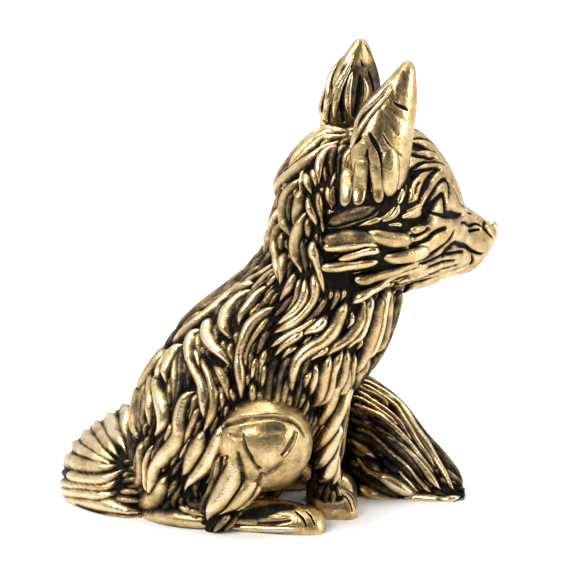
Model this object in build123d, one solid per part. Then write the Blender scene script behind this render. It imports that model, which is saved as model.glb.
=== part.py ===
from build123d import *

import os
from math import cos, pi, radians, sin

# A small seated fox, cast in brass as separate pieces that peg into one another.
# Millimetres: +X is the way the body faces, +Y is the fox's left, +Z is up, and the origin is on the
# flat underside of the body. Each piece is a loft through ellipses, trimmed to the piece that
# carries it, with a round peg that enters a socket there. The main locks of fur are ribs along the
# body and the tail.
# The tables give each form's sections in percent of the main sizes above them.

# Body: level sections from the underside to the crown of the mane.
# Each row is the level, the reach back, the reach forward and the width.
BODY_HEIGHT = 29.5
BODY_LENGTH = 20.8
BODY_WIDTH = 12.8
BODY_SECTIONS = {
    "underside": (0, 52, -2, 90),
    "rump": (10, 55, 4, 95),
    "haunch": (20, 55, 15, 99),
    "flank": (31, 52, 26, 100),
    "chest": (41, 45, 37, 98),
    "breast": (51, 34, 43, 92),
    "shoulder": (61, 16, 45, 86),
    "neck": (70, 6, 41, 83),
    "nape": (78, 3, 38, 81),
    "mane": (88, 0, 35, 75),
    "crest": (96, -8, 31, 56),
    "crown": (100, -15, 25, 22),
}
BODY_RIBS = 18
BODY_RIB_HEIGHT = 0.6
BODY_RIB_LEAN_DEGREES = 30.0

# Head: upright sections from inside the mane to the tip of the muzzle, turned to the fox's left
# about an upright line through the nape.
# Each row is the place ahead of the head's back, the depth below and the height above the nape's
# level, and the width.
HEAD_LENGTH = 16.2
HEAD_HEIGHT = 12.5
HEAD_WIDTH = 14.2
HEAD_BACK = 2.6
HEAD_SET_FORWARD = 0.4
HEAD_TURN_DEGREES = 22.0
HEAD_SECTIONS = {
    "back": (0, 21, 30, 56),
    "ruff": (10, 39, 46, 89),
    "cheek": (28, 47, 52, 100),
    "temple": (44, 49, 53, 97),
    "brow": (59, 47, 50, 83),
    "eyes": (72, 45, 34, 62),
    "stop": (80, 42, 8, 44),
    "bridge": (87, 39, -4, 33),
    "muzzle": (94, 33, -11, 25),
    "lips": (98, 26, -14, 17),
    "tip": (100, 23, -17, 8),
}
NOSE_RADIUS = 0.7
NOSE_SET_BACK = 0.4
HEAD_PEG_RADIUS = 2.0
HEAD_PEG_DROP = 1.0
HEAD_PEG_DEPTH = 3.4

# Ears: level sections from inside the skull to the tip. The left one stands further forward and
# sweeps less than the right one.
# Each row is the rise above the ear's foot, the sweep forward, the lean inward, the width and the
# thickness.
EAR_HEIGHT = 9.3
EAR_WIDTH = 5.4
EAR_THICKNESS = 3.2
LEFT_EAR_SWEEP = 1.5
RIGHT_EAR_SWEEP = 2.5
EAR_LEAN = 0.35
LEFT_EAR_SET_FORWARD = 2.7
RIGHT_EAR_SET_FORWARD = 2.0
EAR_INSET = 2.5
EAR_SINK = 3.3
EAR_TURN_DEGREES = 6.0
EAR_SECTIONS = {
    "foot": (0, 0, 0, 81, 100),
    "root": (22, 9, -25, 98, 100),
    "bowl": (44, 26, -25, 100, 87),
    "blade": (65, 44, 15, 83, 72),
    "point": (81, 68, 45, 61, 56),
    "end": (94, 91, 85, 36, 37),
    "tip": (100, 100, 100, 14, 19),
}
EAR_DISH_LENGTH = 7.0
EAR_DISH_WIDTH = 2.6
EAR_DISH_DEPTH = 0.5
EAR_PEG_RADIUS = 0.7
EAR_PEG_DEPTH = 0.9
EAR_PEG_SET_FORWARD = 0.9

# Hind legs: a round thigh, set back from the front of the chest, with a shank down to a long foot.
THIGH_LENGTH = 7.3
THIGH_WIDTH = 6.6
THIGH_HEIGHT = 7.6
THIGH_SET_BACK = 8.8
THIGH_INSET = 1.0
THIGH_BOTTOM = 3.0
HIND_PEG_RADIUS = 1.2
HIND_PEG_DEPTH = 2.6
# Each row is the level up to the thigh's middle, the place ahead of the heel, the length and the
# width.
SHANK_LENGTH = 4.2
SHANK_WIDTH = 3.4
SHANK_LEAN = 2.4
SHANK_OUTWARD = 1.9
SHANK_SECTIONS = {
    "heel": (0, 21, 60, 70),
    "hock": (31, 46, 80, 95),
    "shin": (58, 88, 100, 100),
    "knee": (100, 100, 95, 85),
}
# Each row is the place ahead of the heel, the splay outward, the height and the width.
FOOT_LENGTH = 8.7
FOOT_SPLAY = 2.05
FOOT_HEIGHT = 2.5
FOOT_WIDTH = 3.2
HEEL_SET_BACK = 4.1
HEEL_INSET = 1.4
FOOT_SECTIONS = {
    "heel": (0, 0, 70, 51),
    "hock": (22, 29, 100, 86),
    "instep": (55, 63, 93, 97),
    "ball": (83, 88, 76, 100),
    "toes": (96, 98, 58, 80),
    "claws": (100, 100, 41, 40),
}

# Forelegs: level sections from the paw up into the chest.
# Each row is the level, the shoulder's set forward and outward, the length and the width.
FORELEG_HEIGHT = 11.5
FORELEG_LENGTH = 3.4
FORELEG_WIDTH = 3.4
FORELEG_SET_BACK = 3.9
FORELEG_SPREAD = 2.0
SHOULDER_SET_FORWARD = 0.4
SHOULDER_SPREAD = 0.7
FORELEG_SECTIONS = {
    "pastern": (5, 0, 0, 76, 74),
    "wrist": (21, 0, 0, 68, 71),
    "forearm": (45, 50, 29, 76, 82),
    "elbow": (71, 100, 71, 94, 100),
    "shoulder": (100, 100, 100, 100, 94),
}
FORELEG_PEG_RADIUS = 0.8
# Each row is the place ahead of the paw's heel, the height and the width.
PAW_LENGTH = 3.9
PAW_HEIGHT = 2.2
PAW_WIDTH = 3.0
PAW_SET_BACK = 1.7
PAW_SECTIONS = {
    "heel": (0, 59, 53),
    "pad": (21, 95, 90),
    "knuckles": (57, 100, 100),
    "toes": (87, 82, 100),
    "claws": (100, 50, 60),
}

# Tail: upright sections along a path from the rump round the fox's left side to the tip in front.
# Each row is the place ahead of the back of the rump, the place to the left, the width and the
# height.
TAIL_REACH = 25.8
TAIL_WIDTH = 8.2
TAIL_HEIGHT = 9.3
TAIL_SET_OUT = 3.2
TAIL_SECTIONS = {
    "root": (9, 0, 63, 56),
    "bend": (-2, 15, 76, 60),
    "back": (-5, 44, 100, 60),
    "side": (3, 72, 95, 71),
    "flank": (16, 92, 78, 89),
    "middle": (38, 100, 59, 100),
    "brush": (60, 90, 59, 100),
    "taper": (76, 67, 56, 80),
    "wisp": (89, 45, 39, 43),
    "end": (97, 31, 20, 17),
    "tip": (100, 26, 7, 8),
}
TAIL_RIBS = 11
TAIL_RIB_HEIGHT = 0.6
TAIL_PEG_RADIUS = 1.4
TAIL_PEG_LEFT = 0.8
TAIL_PEG_LEVEL = 2.8
TAIL_PEG_DEPTH = 3.2

# A lying form is widest at this share of its height, and is cut off by the ground below that.
LYING_WAIST_SHARE = 0.2

# A rib is no higher than this share of its section's half width, and its curve has this many points.
RIB_LIMIT_SHARE = 0.12
RIB_POINTS = 4

# Room for solder round each peg and at the bottom of its socket.
PEG_CLEARANCE = 0.05
SOCKET_END_GAP = 0.2

UP = Vector(0, 0, 1)
AHEAD = Vector(1, 0, 0)
LEFT = 1
RIGHT = -1
SIDES = {"left": LEFT, "right": RIGHT}
EAR_SWEEPS = {LEFT: LEFT_EAR_SWEEP, RIGHT: RIGHT_EAR_SWEEP}
EAR_PLACES = {LEFT: LEFT_EAR_SET_FORWARD, RIGHT: RIGHT_EAR_SET_FORWARD}


def sized(row, *sizes):
    """A row of percentages as lengths, each of its own main size."""
    return [size * percent / 100 for percent, size in zip(row, sizes)]


def ribbed_ellipse(half_length, half_width, ribs, rib_height, lean):
    """An ellipse with ribs round it, which lean towards its back on both sides."""
    rise = min(rib_height / 2, min(half_length, half_width) * RIB_LIMIT_SHARE)
    points = []
    for number in range(ribs * RIB_POINTS):
        along = 2 * pi * number / (ribs * RIB_POINTS)
        angle = along + radians(lean) * sin(along)
        grown = rise * cos(ribs * along)
        points.append(((half_length + grown) * cos(angle), (half_width + grown) * sin(angle)))
    return make_face(Spline(points, periodic=True))


def level_loft(rows):
    """A loft through level ellipses, one for each (centre, half length, half width, turn) row."""
    return loft([
        Pos(centre) * Rot(0, 0, turn) * Ellipse(half_length, half_width)
        for centre, half_length, half_width, turn in rows
    ])


def upright_loft(rows):
    """A loft through upright ellipses, one for each (centre, forward, half width, half height) row."""
    return loft([
        Plane(origin=centre, x_dir=UP.cross(forward), z_dir=forward) * Ellipse(half_width, half_height)
        for centre, forward, half_width, half_height in rows
    ])


def lifted(rows):
    """Rows of (centre, forward, half width, height) on the ground as upright ellipses' rows."""
    return [
        (
            centre + UP * height * LYING_WAIST_SHARE,
            forward,
            half_width,
            height * (1 - LYING_WAIST_SHARE),
        )
        for centre, forward, half_width, height in rows
    ]


def above_ground(form):
    """What stands above the ground of a form that lies on it."""
    return split(form, bisect_by=Plane.XY, keep=Keep.TOP)


def lying_loft(rows):
    """A form that lies flat on the ground, one (centre, forward, half width, height) row a section."""
    return above_ground(upright_loft(lifted(rows)))


def ellipsoid(length, width, height):
    """A ball stretched to three diameters."""
    return scale(Sphere(length / 2), (1, width / length, height / length))


def round_bar(start, end, radius):
    """A round bar from one point to another."""
    along = end - start
    return extrude(Plane(origin=start, z_dir=along) * Circle(radius), along.length)


def peg_and_socket(root, tip, radius):
    """A peg from its root to its tip, and the hole that it enters with room for solder."""
    past = (tip - root).normalized() * SOCKET_END_GAP
    return round_bar(root, tip, radius), round_bar(root, tip + past, radius + PEG_CLEARANCE)


def body_section(name):
    """A body section's level, reach back, reach forward and half width."""
    return sized(BODY_SECTIONS[name], BODY_HEIGHT, BODY_LENGTH, BODY_LENGTH, BODY_WIDTH / 2)


def body_form():
    """The torso, neck and mane."""
    faces = []
    for name in BODY_SECTIONS:
        level, back, front, half_width = body_section(name)
        lean = BODY_RIB_LEAN_DEGREES * (0.5 - level / BODY_HEIGHT)
        outline = ribbed_ellipse((front + back) / 2, half_width, BODY_RIBS, BODY_RIB_HEIGHT, lean)
        faces.append(Pos((front - back) / 2, 0, level) * outline)
    return loft(faces)


def on_head(forward, left, above):
    """A point given in the turned head's own directions, from the nape."""
    level, back, front, _ = body_section("nape")
    turn = radians(HEAD_TURN_DEGREES)
    return Vector(
        (front - back) / 2 + HEAD_SET_FORWARD + forward * cos(turn) - left * sin(turn),
        forward * sin(turn) + left * cos(turn),
        level + above,
    )


def head_section(name):
    """A head section's place ahead of the nape, depth, height and half width."""
    from_back, low, high, half_width = sized(
        HEAD_SECTIONS[name], HEAD_LENGTH, HEAD_HEIGHT, HEAD_HEIGHT, HEAD_WIDTH / 2
    )
    return from_back - HEAD_BACK, low, high, half_width


def head_form():
    """The skull, cheeks and muzzle, with the nose on its end."""
    forward = on_head(1, 0, 0) - on_head(0, 0, 0)
    rows = []
    for name in HEAD_SECTIONS:
        ahead, low, high, half_width = head_section(name)
        rows.append((on_head(ahead, 0, (high - low) / 2), forward, half_width, (high + low) / 2))
    tip, _, tip_high, _ = head_section("tip")
    return upright_loft(rows) + Pos(on_head(tip - NOSE_SET_BACK, 0, tip_high)) * Sphere(NOSE_RADIUS)


def head_peg():
    """The peg and socket at the neck, along the head's own line."""
    _, back, front, _ = body_section("nape")
    throat = (front + back) / 2 - HEAD_SET_FORWARD
    return peg_and_socket(
        on_head(head_section("brow")[0], 0, -HEAD_PEG_DROP),
        on_head(throat - HEAD_PEG_DEPTH, 0, -HEAD_PEG_DROP),
        HEAD_PEG_RADIUS,
    )


def ear_section(name, side):
    """An ear section's centre, half width, half thickness and turn."""
    _, _, crown, cheek = head_section("cheek")
    rise, sweep, lean, half_width, half_thickness = sized(
        EAR_SECTIONS[name], EAR_HEIGHT, EAR_SWEEPS[side], EAR_LEAN, EAR_WIDTH / 2, EAR_THICKNESS / 2
    )
    centre = on_head(
        EAR_PLACES[side] + sweep, side * (cheek - EAR_INSET - lean), crown - EAR_SINK + rise
    )
    return centre, half_width, half_thickness, HEAD_TURN_DEGREES + side * EAR_TURN_DEGREES


def ear_form(side):
    """An ear with a shallow dish on its outer face."""
    centre, _, half_thickness, turn = ear_section("blade", side)
    outer_face = centre + Vector(0, side * half_thickness, 0).rotate(Axis.Z, turn)
    dish = ellipsoid(EAR_DISH_WIDTH, 2 * EAR_DISH_DEPTH, EAR_DISH_LENGTH)
    blade = level_loft([ear_section(name, side) for name in EAR_SECTIONS])
    return blade - Pos(outer_face) * Rot(0, 0, turn) * dish


def ear_peg(side):
    """The peg and socket under an ear."""
    ahead = (on_head(1, 0, 0) - on_head(0, 0, 0)) * EAR_PEG_SET_FORWARD
    root = ear_section("root", side)[0] + ahead
    foot = ear_section("foot", side)[0] + ahead
    return peg_and_socket(root, foot - UP * EAR_PEG_DEPTH, EAR_PEG_RADIUS)


def thigh_centre(side):
    """The middle of a thigh, set into the flank."""
    front = body_section("chest")[2]
    half_width = body_section("flank")[3]
    return Vector(
        front - THIGH_SET_BACK, side * (half_width - THIGH_INSET), THIGH_BOTTOM + THIGH_HEIGHT / 2
    )


def hind_leg_form(side):
    """A thigh, its shank and its foot."""
    middle = thigh_centre(side)
    thigh = Pos(middle) * ellipsoid(THIGH_LENGTH, THIGH_WIDTH, THIGH_HEIGHT)
    heel = Vector(middle.X - HEEL_SET_BACK, middle.Y - side * HEEL_INSET, 0)
    shank = []
    for row in SHANK_SECTIONS.values():
        level, ahead, half_length, half_width = sized(
            row, middle.Z, SHANK_LEAN, SHANK_LENGTH / 2, SHANK_WIDTH / 2
        )
        centre = heel + Vector(ahead, side * SHANK_OUTWARD, level)
        shank.append((centre, half_length, half_width, 0))
    foot = []
    for row in FOOT_SECTIONS.values():
        ahead, splay, height, half_width = sized(
            row, FOOT_LENGTH, FOOT_SPLAY, FOOT_HEIGHT, FOOT_WIDTH / 2
        )
        foot.append((heel + Vector(ahead, side * splay, 0), AHEAD, half_width, height))
    return thigh + level_loft(shank) + lying_loft(foot)


def hind_peg(side):
    """The peg and socket between a thigh and the flank."""
    outward = Vector(0, side, 0)
    middle = thigh_centre(side)
    return peg_and_socket(
        middle + outward * THIGH_WIDTH / 4, middle - outward * HIND_PEG_DEPTH, HIND_PEG_RADIUS
    )


def foreleg_section(name, side):
    """A foreleg section's centre, half length, half width and turn."""
    level, ahead, outward, half_length, half_width = sized(
        FORELEG_SECTIONS[name],
        FORELEG_HEIGHT,
        SHOULDER_SET_FORWARD,
        SHOULDER_SPREAD,
        FORELEG_LENGTH / 2,
        FORELEG_WIDTH / 2,
    )
    ankle = body_section("chest")[2] - FORELEG_SET_BACK
    return Vector(ankle + ahead, side * (FORELEG_SPREAD + outward), level), half_length, half_width, 0


def foreleg_form(side):
    """A foreleg and its paw."""
    leg = level_loft([foreleg_section(name, side) for name in FORELEG_SECTIONS])
    ankle = foreleg_section("pastern", side)[0]
    rows = []
    for row in PAW_SECTIONS.values():
        ahead, height, half_width = sized(row, PAW_LENGTH, PAW_HEIGHT, PAW_WIDTH / 2)
        rows.append((Vector(ankle.X - PAW_SET_BACK + ahead, ankle.Y, 0), AHEAD, half_width, height))
    return leg + lying_loft(rows)


def foreleg_peg(side):
    """The peg and socket along a foreleg's own line, up into the chest."""
    return peg_and_socket(
        foreleg_section("forearm", side)[0], foreleg_section("shoulder", side)[0], FORELEG_PEG_RADIUS
    )


def tail_path():
    """The tail's section centres on the ground."""
    rump = -body_section("rump")[1]
    spread = BODY_WIDTH / 2 + TAIL_SET_OUT
    centres = []
    for row in TAIL_SECTIONS.values():
        ahead, left = sized(row, TAIL_REACH, spread)
        centres.append(Vector(rump + ahead, left, 0))
    return centres


def tail_form():
    """The tail, lying along the ground."""
    path = tail_path()
    before = path[:1] + path[:-1]
    after = path[1:] + path[-1:]
    rows = []
    for centre, gone, coming, (_, _, *outline) in zip(path, before, after, TAIL_SECTIONS.values()):
        half_width, height = sized(outline, TAIL_WIDTH / 2, TAIL_HEIGHT)
        rows.append((centre, (coming - gone).normalized(), half_width, height))
    faces = [
        Plane(origin=centre, x_dir=UP, z_dir=forward)
        * ribbed_ellipse(half_height, half_width, TAIL_RIBS, TAIL_RIB_HEIGHT, 0)
        for centre, forward, half_width, half_height in lifted(rows)
    ]
    return above_ground(loft(faces))


def tail_peg():
    """The peg and socket between the tail and the rump."""
    rump = -body_section("rump")[1]
    bend = min(centre.X for centre in tail_path())
    return peg_and_socket(
        Vector(bend, TAIL_PEG_LEFT, TAIL_PEG_LEVEL),
        Vector(rump + TAIL_PEG_DEPTH, TAIL_PEG_LEFT, TAIL_PEG_LEVEL),
        TAIL_PEG_RADIUS,
    )


def build_pieces():
    """Each piece, trimmed to what carries it, with its peg on and its carrier's socket cut."""
    body = body_form()
    head = head_form() - body
    pieces = {}
    for name, side in SIDES.items():
        peg, socket = ear_peg(side)
        pieces[name + "_ear"] = ear_form(side) - head - body + peg
        head -= socket
        body -= socket
    for name, side in SIDES.items():
        peg, socket = hind_peg(side)
        pieces[name + "_hind_leg"] = hind_leg_form(side) - body + peg
        body -= socket
        peg, socket = foreleg_peg(side)
        pieces[name + "_foreleg"] = foreleg_form(side) - body + peg
        body -= socket
    peg, socket = tail_peg()
    pieces["tail"] = tail_form() - body - pieces["left_hind_leg"] + peg
    body -= socket
    peg, socket = head_peg()
    pieces["head"] = head + peg
    pieces["body"] = body - socket
    return pieces


os.makedirs("parts", exist_ok=True)
for node, piece in build_pieces().items():
    print(node, "solids", len(piece.solids()), "volume", round(piece.volume, 1))
    export_step(piece, f"parts/{node}.step")
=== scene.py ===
from math import cos, pi, radians, sin

import bpy
import numpy as np
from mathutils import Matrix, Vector


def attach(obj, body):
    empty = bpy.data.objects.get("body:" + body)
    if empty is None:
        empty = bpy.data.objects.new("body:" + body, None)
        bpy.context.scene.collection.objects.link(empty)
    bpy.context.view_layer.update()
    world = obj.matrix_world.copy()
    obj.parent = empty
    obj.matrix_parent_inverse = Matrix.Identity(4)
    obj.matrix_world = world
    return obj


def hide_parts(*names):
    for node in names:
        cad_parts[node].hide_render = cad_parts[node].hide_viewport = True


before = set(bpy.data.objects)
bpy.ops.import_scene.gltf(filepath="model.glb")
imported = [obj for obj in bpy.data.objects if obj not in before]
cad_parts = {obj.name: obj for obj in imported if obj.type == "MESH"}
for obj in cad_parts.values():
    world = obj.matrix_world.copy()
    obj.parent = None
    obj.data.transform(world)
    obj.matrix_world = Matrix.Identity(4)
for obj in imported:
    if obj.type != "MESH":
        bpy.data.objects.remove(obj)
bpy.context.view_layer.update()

# A seated fox in antiqued brass: smooth cast forms, with grooves cut into them and locks of fur laid
# along their surfaces. Forms are worked out in millimetres in the frame of the CAD pieces: +X is the
# way the body faces, +Y its left and +Z up.
MM = 0.001
LEFT = 1
RIGHT = -1

# The photograph's view: the picture's size, the scale at the fox and where the origin falls in it.
PICTURE = 576
PIXELS_PER_MM = 13.0
ORIGIN_PIXEL = (279.0, 506.4)
CAMERA_ELEVATION = radians(15)
CAMERA_DISTANCE = 400.0

# Main sizes, and the sections of each form in percent of them: close to the castings' own, and nearer to
# the photograph where the two differ.
BODY_HEIGHT = 29.5
BODY_LENGTH = 20.8
BODY_WIDTH = 12.8
# Level, reach back, reach forward, width.
BODY_SECTIONS = [
    (0, 52, -2, 90),
    (10, 55, 4, 95),
    (20, 55, 15, 99),
    (31, 52, 26, 100),
    (41, 44, 37, 98),
    (51, 33, 43, 92),
    (61, 15.5, 45, 86),
    (70, 5.5, 41, 83),
    (78, 2, 38, 81),
    (88, 0, 35, 75),
    (96, -8, 31, 56),
    (100, -15, 25, 22),
    (100.8, -19, 20, 2),
]
HEAD_LENGTH = 16.2
HEAD_HEIGHT = 12.5
HEAD_WIDTH = 14.2
HEAD_BACK = 2.6
# The head's level as a share of the body's height, and the neck's reach there as shares of its length.
HEAD_LEVEL_SHARE = 0.78
NECK_FRONT = 0.38
NECK_BACK = 0.03
HEAD_SET_FORWARD = 0.4
HEAD_LEVEL = BODY_HEIGHT * HEAD_LEVEL_SHARE
HEAD_X = BODY_LENGTH * (NECK_FRONT - NECK_BACK) / 2 + HEAD_SET_FORWARD
HEAD_TURN = radians(22)
# Place ahead of the back, depth below and height above the head's level, width.
HEAD_SECTIONS = [
    (0, 21, 30, 56),
    (10, 39, 46, 89),
    (28, 47, 52, 100),
    (44, 49.5, 54, 97),
    (59, 49, 49.5, 83),
    (72, 45, 30, 59),
    (80, 44, 4.5, 41),
    (87, 42, -4, 31),
    (94, 32.5, -11, 22),
    (98, 25, -15, 13),
    (100, 22, -19, 5),
]
# The nose's ball: its radius, its place behind the muzzle's end, and its drop in head heights.
NOSE_RADIUS = 0.52
NOSE_SET_BACK = 0.38
NOSE_DROP = 0.165
EAR_HEIGHT = 9.3
EAR_WIDTH = {LEFT: 6.0, RIGHT: 5.5}
EAR_THICKNESS = 3.2
EAR_SWEEP = {LEFT: 0.6, RIGHT: 2.5}
EAR_LEAN = 0.35
EAR_AHEAD = {LEFT: 3.5, RIGHT: 2.05}
EAR_INSET = 2.5
EAR_OUTWARD = HEAD_WIDTH / 2 - EAR_INSET
CROWN_SHARE = 0.52
EAR_FOOT_DEPTH = 3.3
EAR_ABOVE = HEAD_HEIGHT * CROWN_SHARE - EAR_FOOT_DEPTH
EAR_TURN = radians(6)
# Rise, sweep forward, lean inward, width, thickness.
EAR_SECTIONS = [
    (0, -6, 0, 75, 100),
    (22, -6, -25, 86, 100),
    (44, 8, -25, 83, 87),
    (65, 36, 15, 70, 72),
    (81, 61, 45, 49, 56),
    (94, 84, 85, 27, 37),
    (100, 92, 100, 12, 19),
]
# The legs' places are counted back from the chest, whose front is a share of the body's length.
CHEST_SHARE = 0.37
CHEST_X = BODY_LENGTH * CHEST_SHARE
THIGH_LENGTH = 7.3
THIGH_WIDTH = 6.6
THIGH_HEIGHT = 7.6
THIGH_BEHIND_CHEST = 8.8
THIGH_X = CHEST_X - THIGH_BEHIND_CHEST
THIGH_INSET = 1.0
THIGH_OUTWARD = BODY_WIDTH / 2 - THIGH_INSET
THIGH_BOTTOM = 3.0
THIGH_LEVEL = THIGH_BOTTOM + THIGH_HEIGHT / 2
FOOT_LENGTH = 8.7
FOOT_SPLAY = 2.05
FOOT_HEIGHT = 2.5
FOOT_WIDTH = 3.2
HEEL_BEHIND_THIGH = 4.1
HEEL_X = THIGH_X - HEEL_BEHIND_THIGH
HEEL_INSET = 1.4
HEEL_OUTWARD = THIGH_OUTWARD - HEEL_INSET
SHANK_LENGTH = 4.2
SHANK_WIDTH = 3.4
SHANK_LEAN = 2.4
SHANK_OUTWARD = 1.9
# Level up to the thigh's middle, place ahead of the heel, length, width.
SHANK_SECTIONS = [
    (0, 21, 60, 70),
    (31, 46, 80, 95),
    (58, 88, 100, 100),
    (100, 100, 95, 85),
]
# Place ahead of the heel, splay outward, height, width.
FOOT_SECTIONS = [
    (0, 0, 70, 51),
    (22, 29, 100, 86),
    (55, 63, 93, 97),
    (83, 88, 76, 100),
    (96, 98, 58, 80),
    (100, 100, 41, 40),
]
FORELEG_HEIGHT = 11.5
FORELEG_LENGTH = 3.4
FORELEG_WIDTH = 3.4
FORELEG_BEHIND_CHEST = 3.9
FORELEG_X = CHEST_X - FORELEG_BEHIND_CHEST
FORELEG_OUTWARD = 2.0
SHOULDER_SET_FORWARD = 0.4
SHOULDER_SPREAD = 0.7
# Level, set forward, set outward, length, width.
FORELEG_SECTIONS = [
    (5, 0, 0, 76, 74),
    (21, -20, 0, 62, 71),
    (45, -20, 29, 65, 82),
    (71, 10, 71, 78, 100),
    (100, 50, 100, 90, 94),
]
PAW_LENGTH = 3.9
PAW_HEIGHT = 2.2
PAW_WIDTH = 3.0
PAW_HEEL = 1.7
PAW_X = FORELEG_X - PAW_HEEL
# Place ahead of the paw's heel, height, width.
PAW_SECTIONS = [
    (0, 59, 53),
    (21, 95, 90),
    (57, 100, 100),
    (87, 82, 100),
    (100, 50, 60),
]
TAIL_REACH = 25.8
TAIL_WIDTH = 8.2
TAIL_HEIGHT = 9.3
TAIL_BESIDE_BODY = 3.2
TAIL_SPREAD = BODY_WIDTH / 2 + TAIL_BESIDE_BODY
RUMP_SHARE = 0.55
TAIL_X = -BODY_LENGTH * RUMP_SHARE
# Place ahead of the rump, place to the left, width, height.
TAIL_SECTIONS = [
    (9, -5, 72, 54),
    (-1.5, 10, 81, 57),
    (-5, 41, 98, 57),
    (4, 72, 94, 70),
    (16, 92, 78, 89),
    (38, 100, 59, 100),
    (60, 88, 63, 100),
    (78, 53, 82, 76),
    (89, 40, 58, 43),
    (97, 26, 36, 17),
    (100, 26, 7, 8),
]

# How far the bare forms lie under the tops of the fur.
FUR_DEPTH = 0.22
# Points along a lock's run, and round a lock that is a tube.
LOCK_STATIONS = 26
LOCK_SIDES = 14
# How many half widths a lock takes to swell from its root and to run out to its tip, and the tip's power.
POINTED = (2.5, 5.0, 0.25)
BLUNT = (1.2, 1.2, 0.0)
COLUMN = (2.0, 1.2, 0.0)
# The least shares of those lengths that count, so that a root and a tip keep some width.
ROOT_SHARE = 0.03
TIP_SHARE = 0.01
# How deep the columns of fur below an ear start in it.
COLUMN_ROOT_SINK = 0.4
# A tube's lean and its change of height, at random, its underside's depth as a share of its height, and
# how fast its shine grows from its sides to its top, which darkens the sides as patina and as painted
# shade.
LEAN_RANGE = (-0.35, 0.35)
RISE_RANGE = (0.8, 1.2)
UNDERSIDE = 0.5
TUBE_SHINE = 1.4
# A ridge of fur: samples along it, its spread in half widths, its rise for each and its greatest height.
RIDGE_SAMPLES = 80
RIDGE_SPREAD = 1.55
RIDGE_RISE = 1.7
RIDGE_LIMIT = 0.55
# Two ridges whose heights differ by less than this meet in a groove, cut so much deeper.
GROOVE_MARGIN = 0.15
GROOVE_DEPTH = 0.12
# How fast the shine falls off down a ridge, darkening its sides as patina and as painted shade, and the
# share of it that a groove keeps.
SHINE_POWER = 1.2
GROOVE_SHINE = 0.2
# How brightly locks are rubbed, at random between two reliefs: drawn ones and those that fill the gaps.
DRAWN_RUB = (0.8, 1.15)
FILLED_RUB = (0.35, 0.8)
TAIL_RUB = (0.9, 1.2)
# The brush's filling on its seen side is rubbed less, as painted shade.
BRUSH_SHADED_FILLED_RUB = (0.2, 0.6)
CHEEK_RUB = (0.8, 1.0)
DARKER_CHEEK_RUB = (0.45, 0.55)
COLUMN_RUB = (0.8, 0.9)
UNDERFUR_RUB = (0.4, 0.9)
# The relief of bare skins, of skin left dark under fur, and what a bare face adds to that.
EAR_RELIEF = 0.86
THIGH_RELIEF = 0.8
FOOT_RELIEF = 0.82
DARK_RELIEF = 0.05
FACE_RELIEF = 0.78
# The tail's brush starts at this share of its length.
BRUSH_START = 0.55
# Fur grows between these shares of the body's height, and on the tail above this level.
BODY_FUR_SHARES = (0.01, 0.995)
TAIL_FUR_LEVEL = 0.2
# In the photograph the fur under the cheek is left dark: to the right of this pixel, between these two.
UNDER_CHEEK_LEFT = 324
UNDER_CHEEK_TOP = 185
UNDER_CHEEK_BOTTOM = 290
# The face is bare ahead of this pixel, over a blend of so many, and starts at this share of the head's
# sections. Skull and face run on past it, one under the other, by shares of their own.
FACE_PIXEL = 404
FACE_BLEND = 6
FACE_START = 0.25
SKULL_LAP = 0.03
FACE_LAP = 0.02
# What is carved: its depth, how dark it is and how crisp its edges are.
FACE_GROOVE = (0.22, 1.0, 3.0)
# The broad hollow round each face groove is cut, and its darkening is partly patina and partly painted
# shade on the sides of the ridges between grooves.
FACE_SHADED_HOLLOW = (0.14, 0.5, 1.0)
EAR_GROOVE = (0.2, 1.0, 3.0)
# The ear's scoops are barely cut: their darkness is painted shade of hollows.
EAR_SHADED_SCOOP = (0.03, 0.55, 0.9)
THIGH_GROOVE = (0.2, 0.7, 0.9)
# The thigh's scoops are shallow hollows, darkened as a painted dark reflection.
THIGH_DARK_REFLECTION_SCOOP = (0.1, 0.5, 0.9)
FOOT_GROOVE = (0.2, 1.0, 3.0)
FOOT_SCOOP = (0.1, 0.85, 1.5)
PAW_GROOVE = (0.15, 1.0, 3.0)
PAW_SCOOP = (0.04, 0.9, 1.6)
# The ear's inner face is darker by so much, as painted shade of the hollow it doesn't have, up to this
# share of
# its height, with soft edges: the start and width of the blend round the ear, and the width of the blend
# below the tip.
EAR_SHADE = 0.5
EAR_TIP_SHARE = 0.72
EAR_SHADE_START = 0.25
EAR_SHADE_BLEND = 0.2
EAR_TIP_BLEND = 0.08
# A drawn stroke seen askew is widened up to a limit, and never thinner than this.
ASKEW_LIMIT = 0.45
THINNEST = 0.05
# A lobe takes the skin nearest to the camera. Each millimetre beyond this by which a skin misses the
# lobe's pixel counts as so much further away.
MISS_ALLOWED = 0.2
MISS_COST = 20
# The fur's flow is worked out at every so many points of a skin, and followed in paces of this length. A
# filling lock needs so many paces and this much room, is drawn through so many of its points, reaches as
# far as it may by a random share, and has this half width at least.
FLOW_STEP = 8
FLOW_PACE = 0.2
SHORTEST_RUN = 7
LEAST_ROOM = 0.02
RUN_POINTS = 8
REACH_RANGE = (0.6, 1.0)
LEAST_HALF_WIDTH = 0.06
# How far the body's two halves run on under each other, in rings and in depth.
LAP_RINGS = 4
LAP_DEPTH = 0.02
# The angles from their poles at which the nose's and the thigh's balls start, and where the thigh's ends.
NOSE_POLE = 0.06
THIGH_POLE = radians(0.5)
THIGH_END = radians(110)
# What counts as out of sight.
OUT_OF_SIGHT = 1e9

# The brass: noises as patches a metre and detail, their middle and strength in the relief, and the bump.
PATCHES = (900, 4)
PATCH_MIDDLE = 0.55
PATCH_STRENGTH = 0.9
SPECKS = (5000, 3)
SPECK_MIDDLE = 0.5
SPECK_STRENGTH = 0.4
BUMP_STRENGTH = 0.5
BUMP_DISTANCE = 0.06
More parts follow.
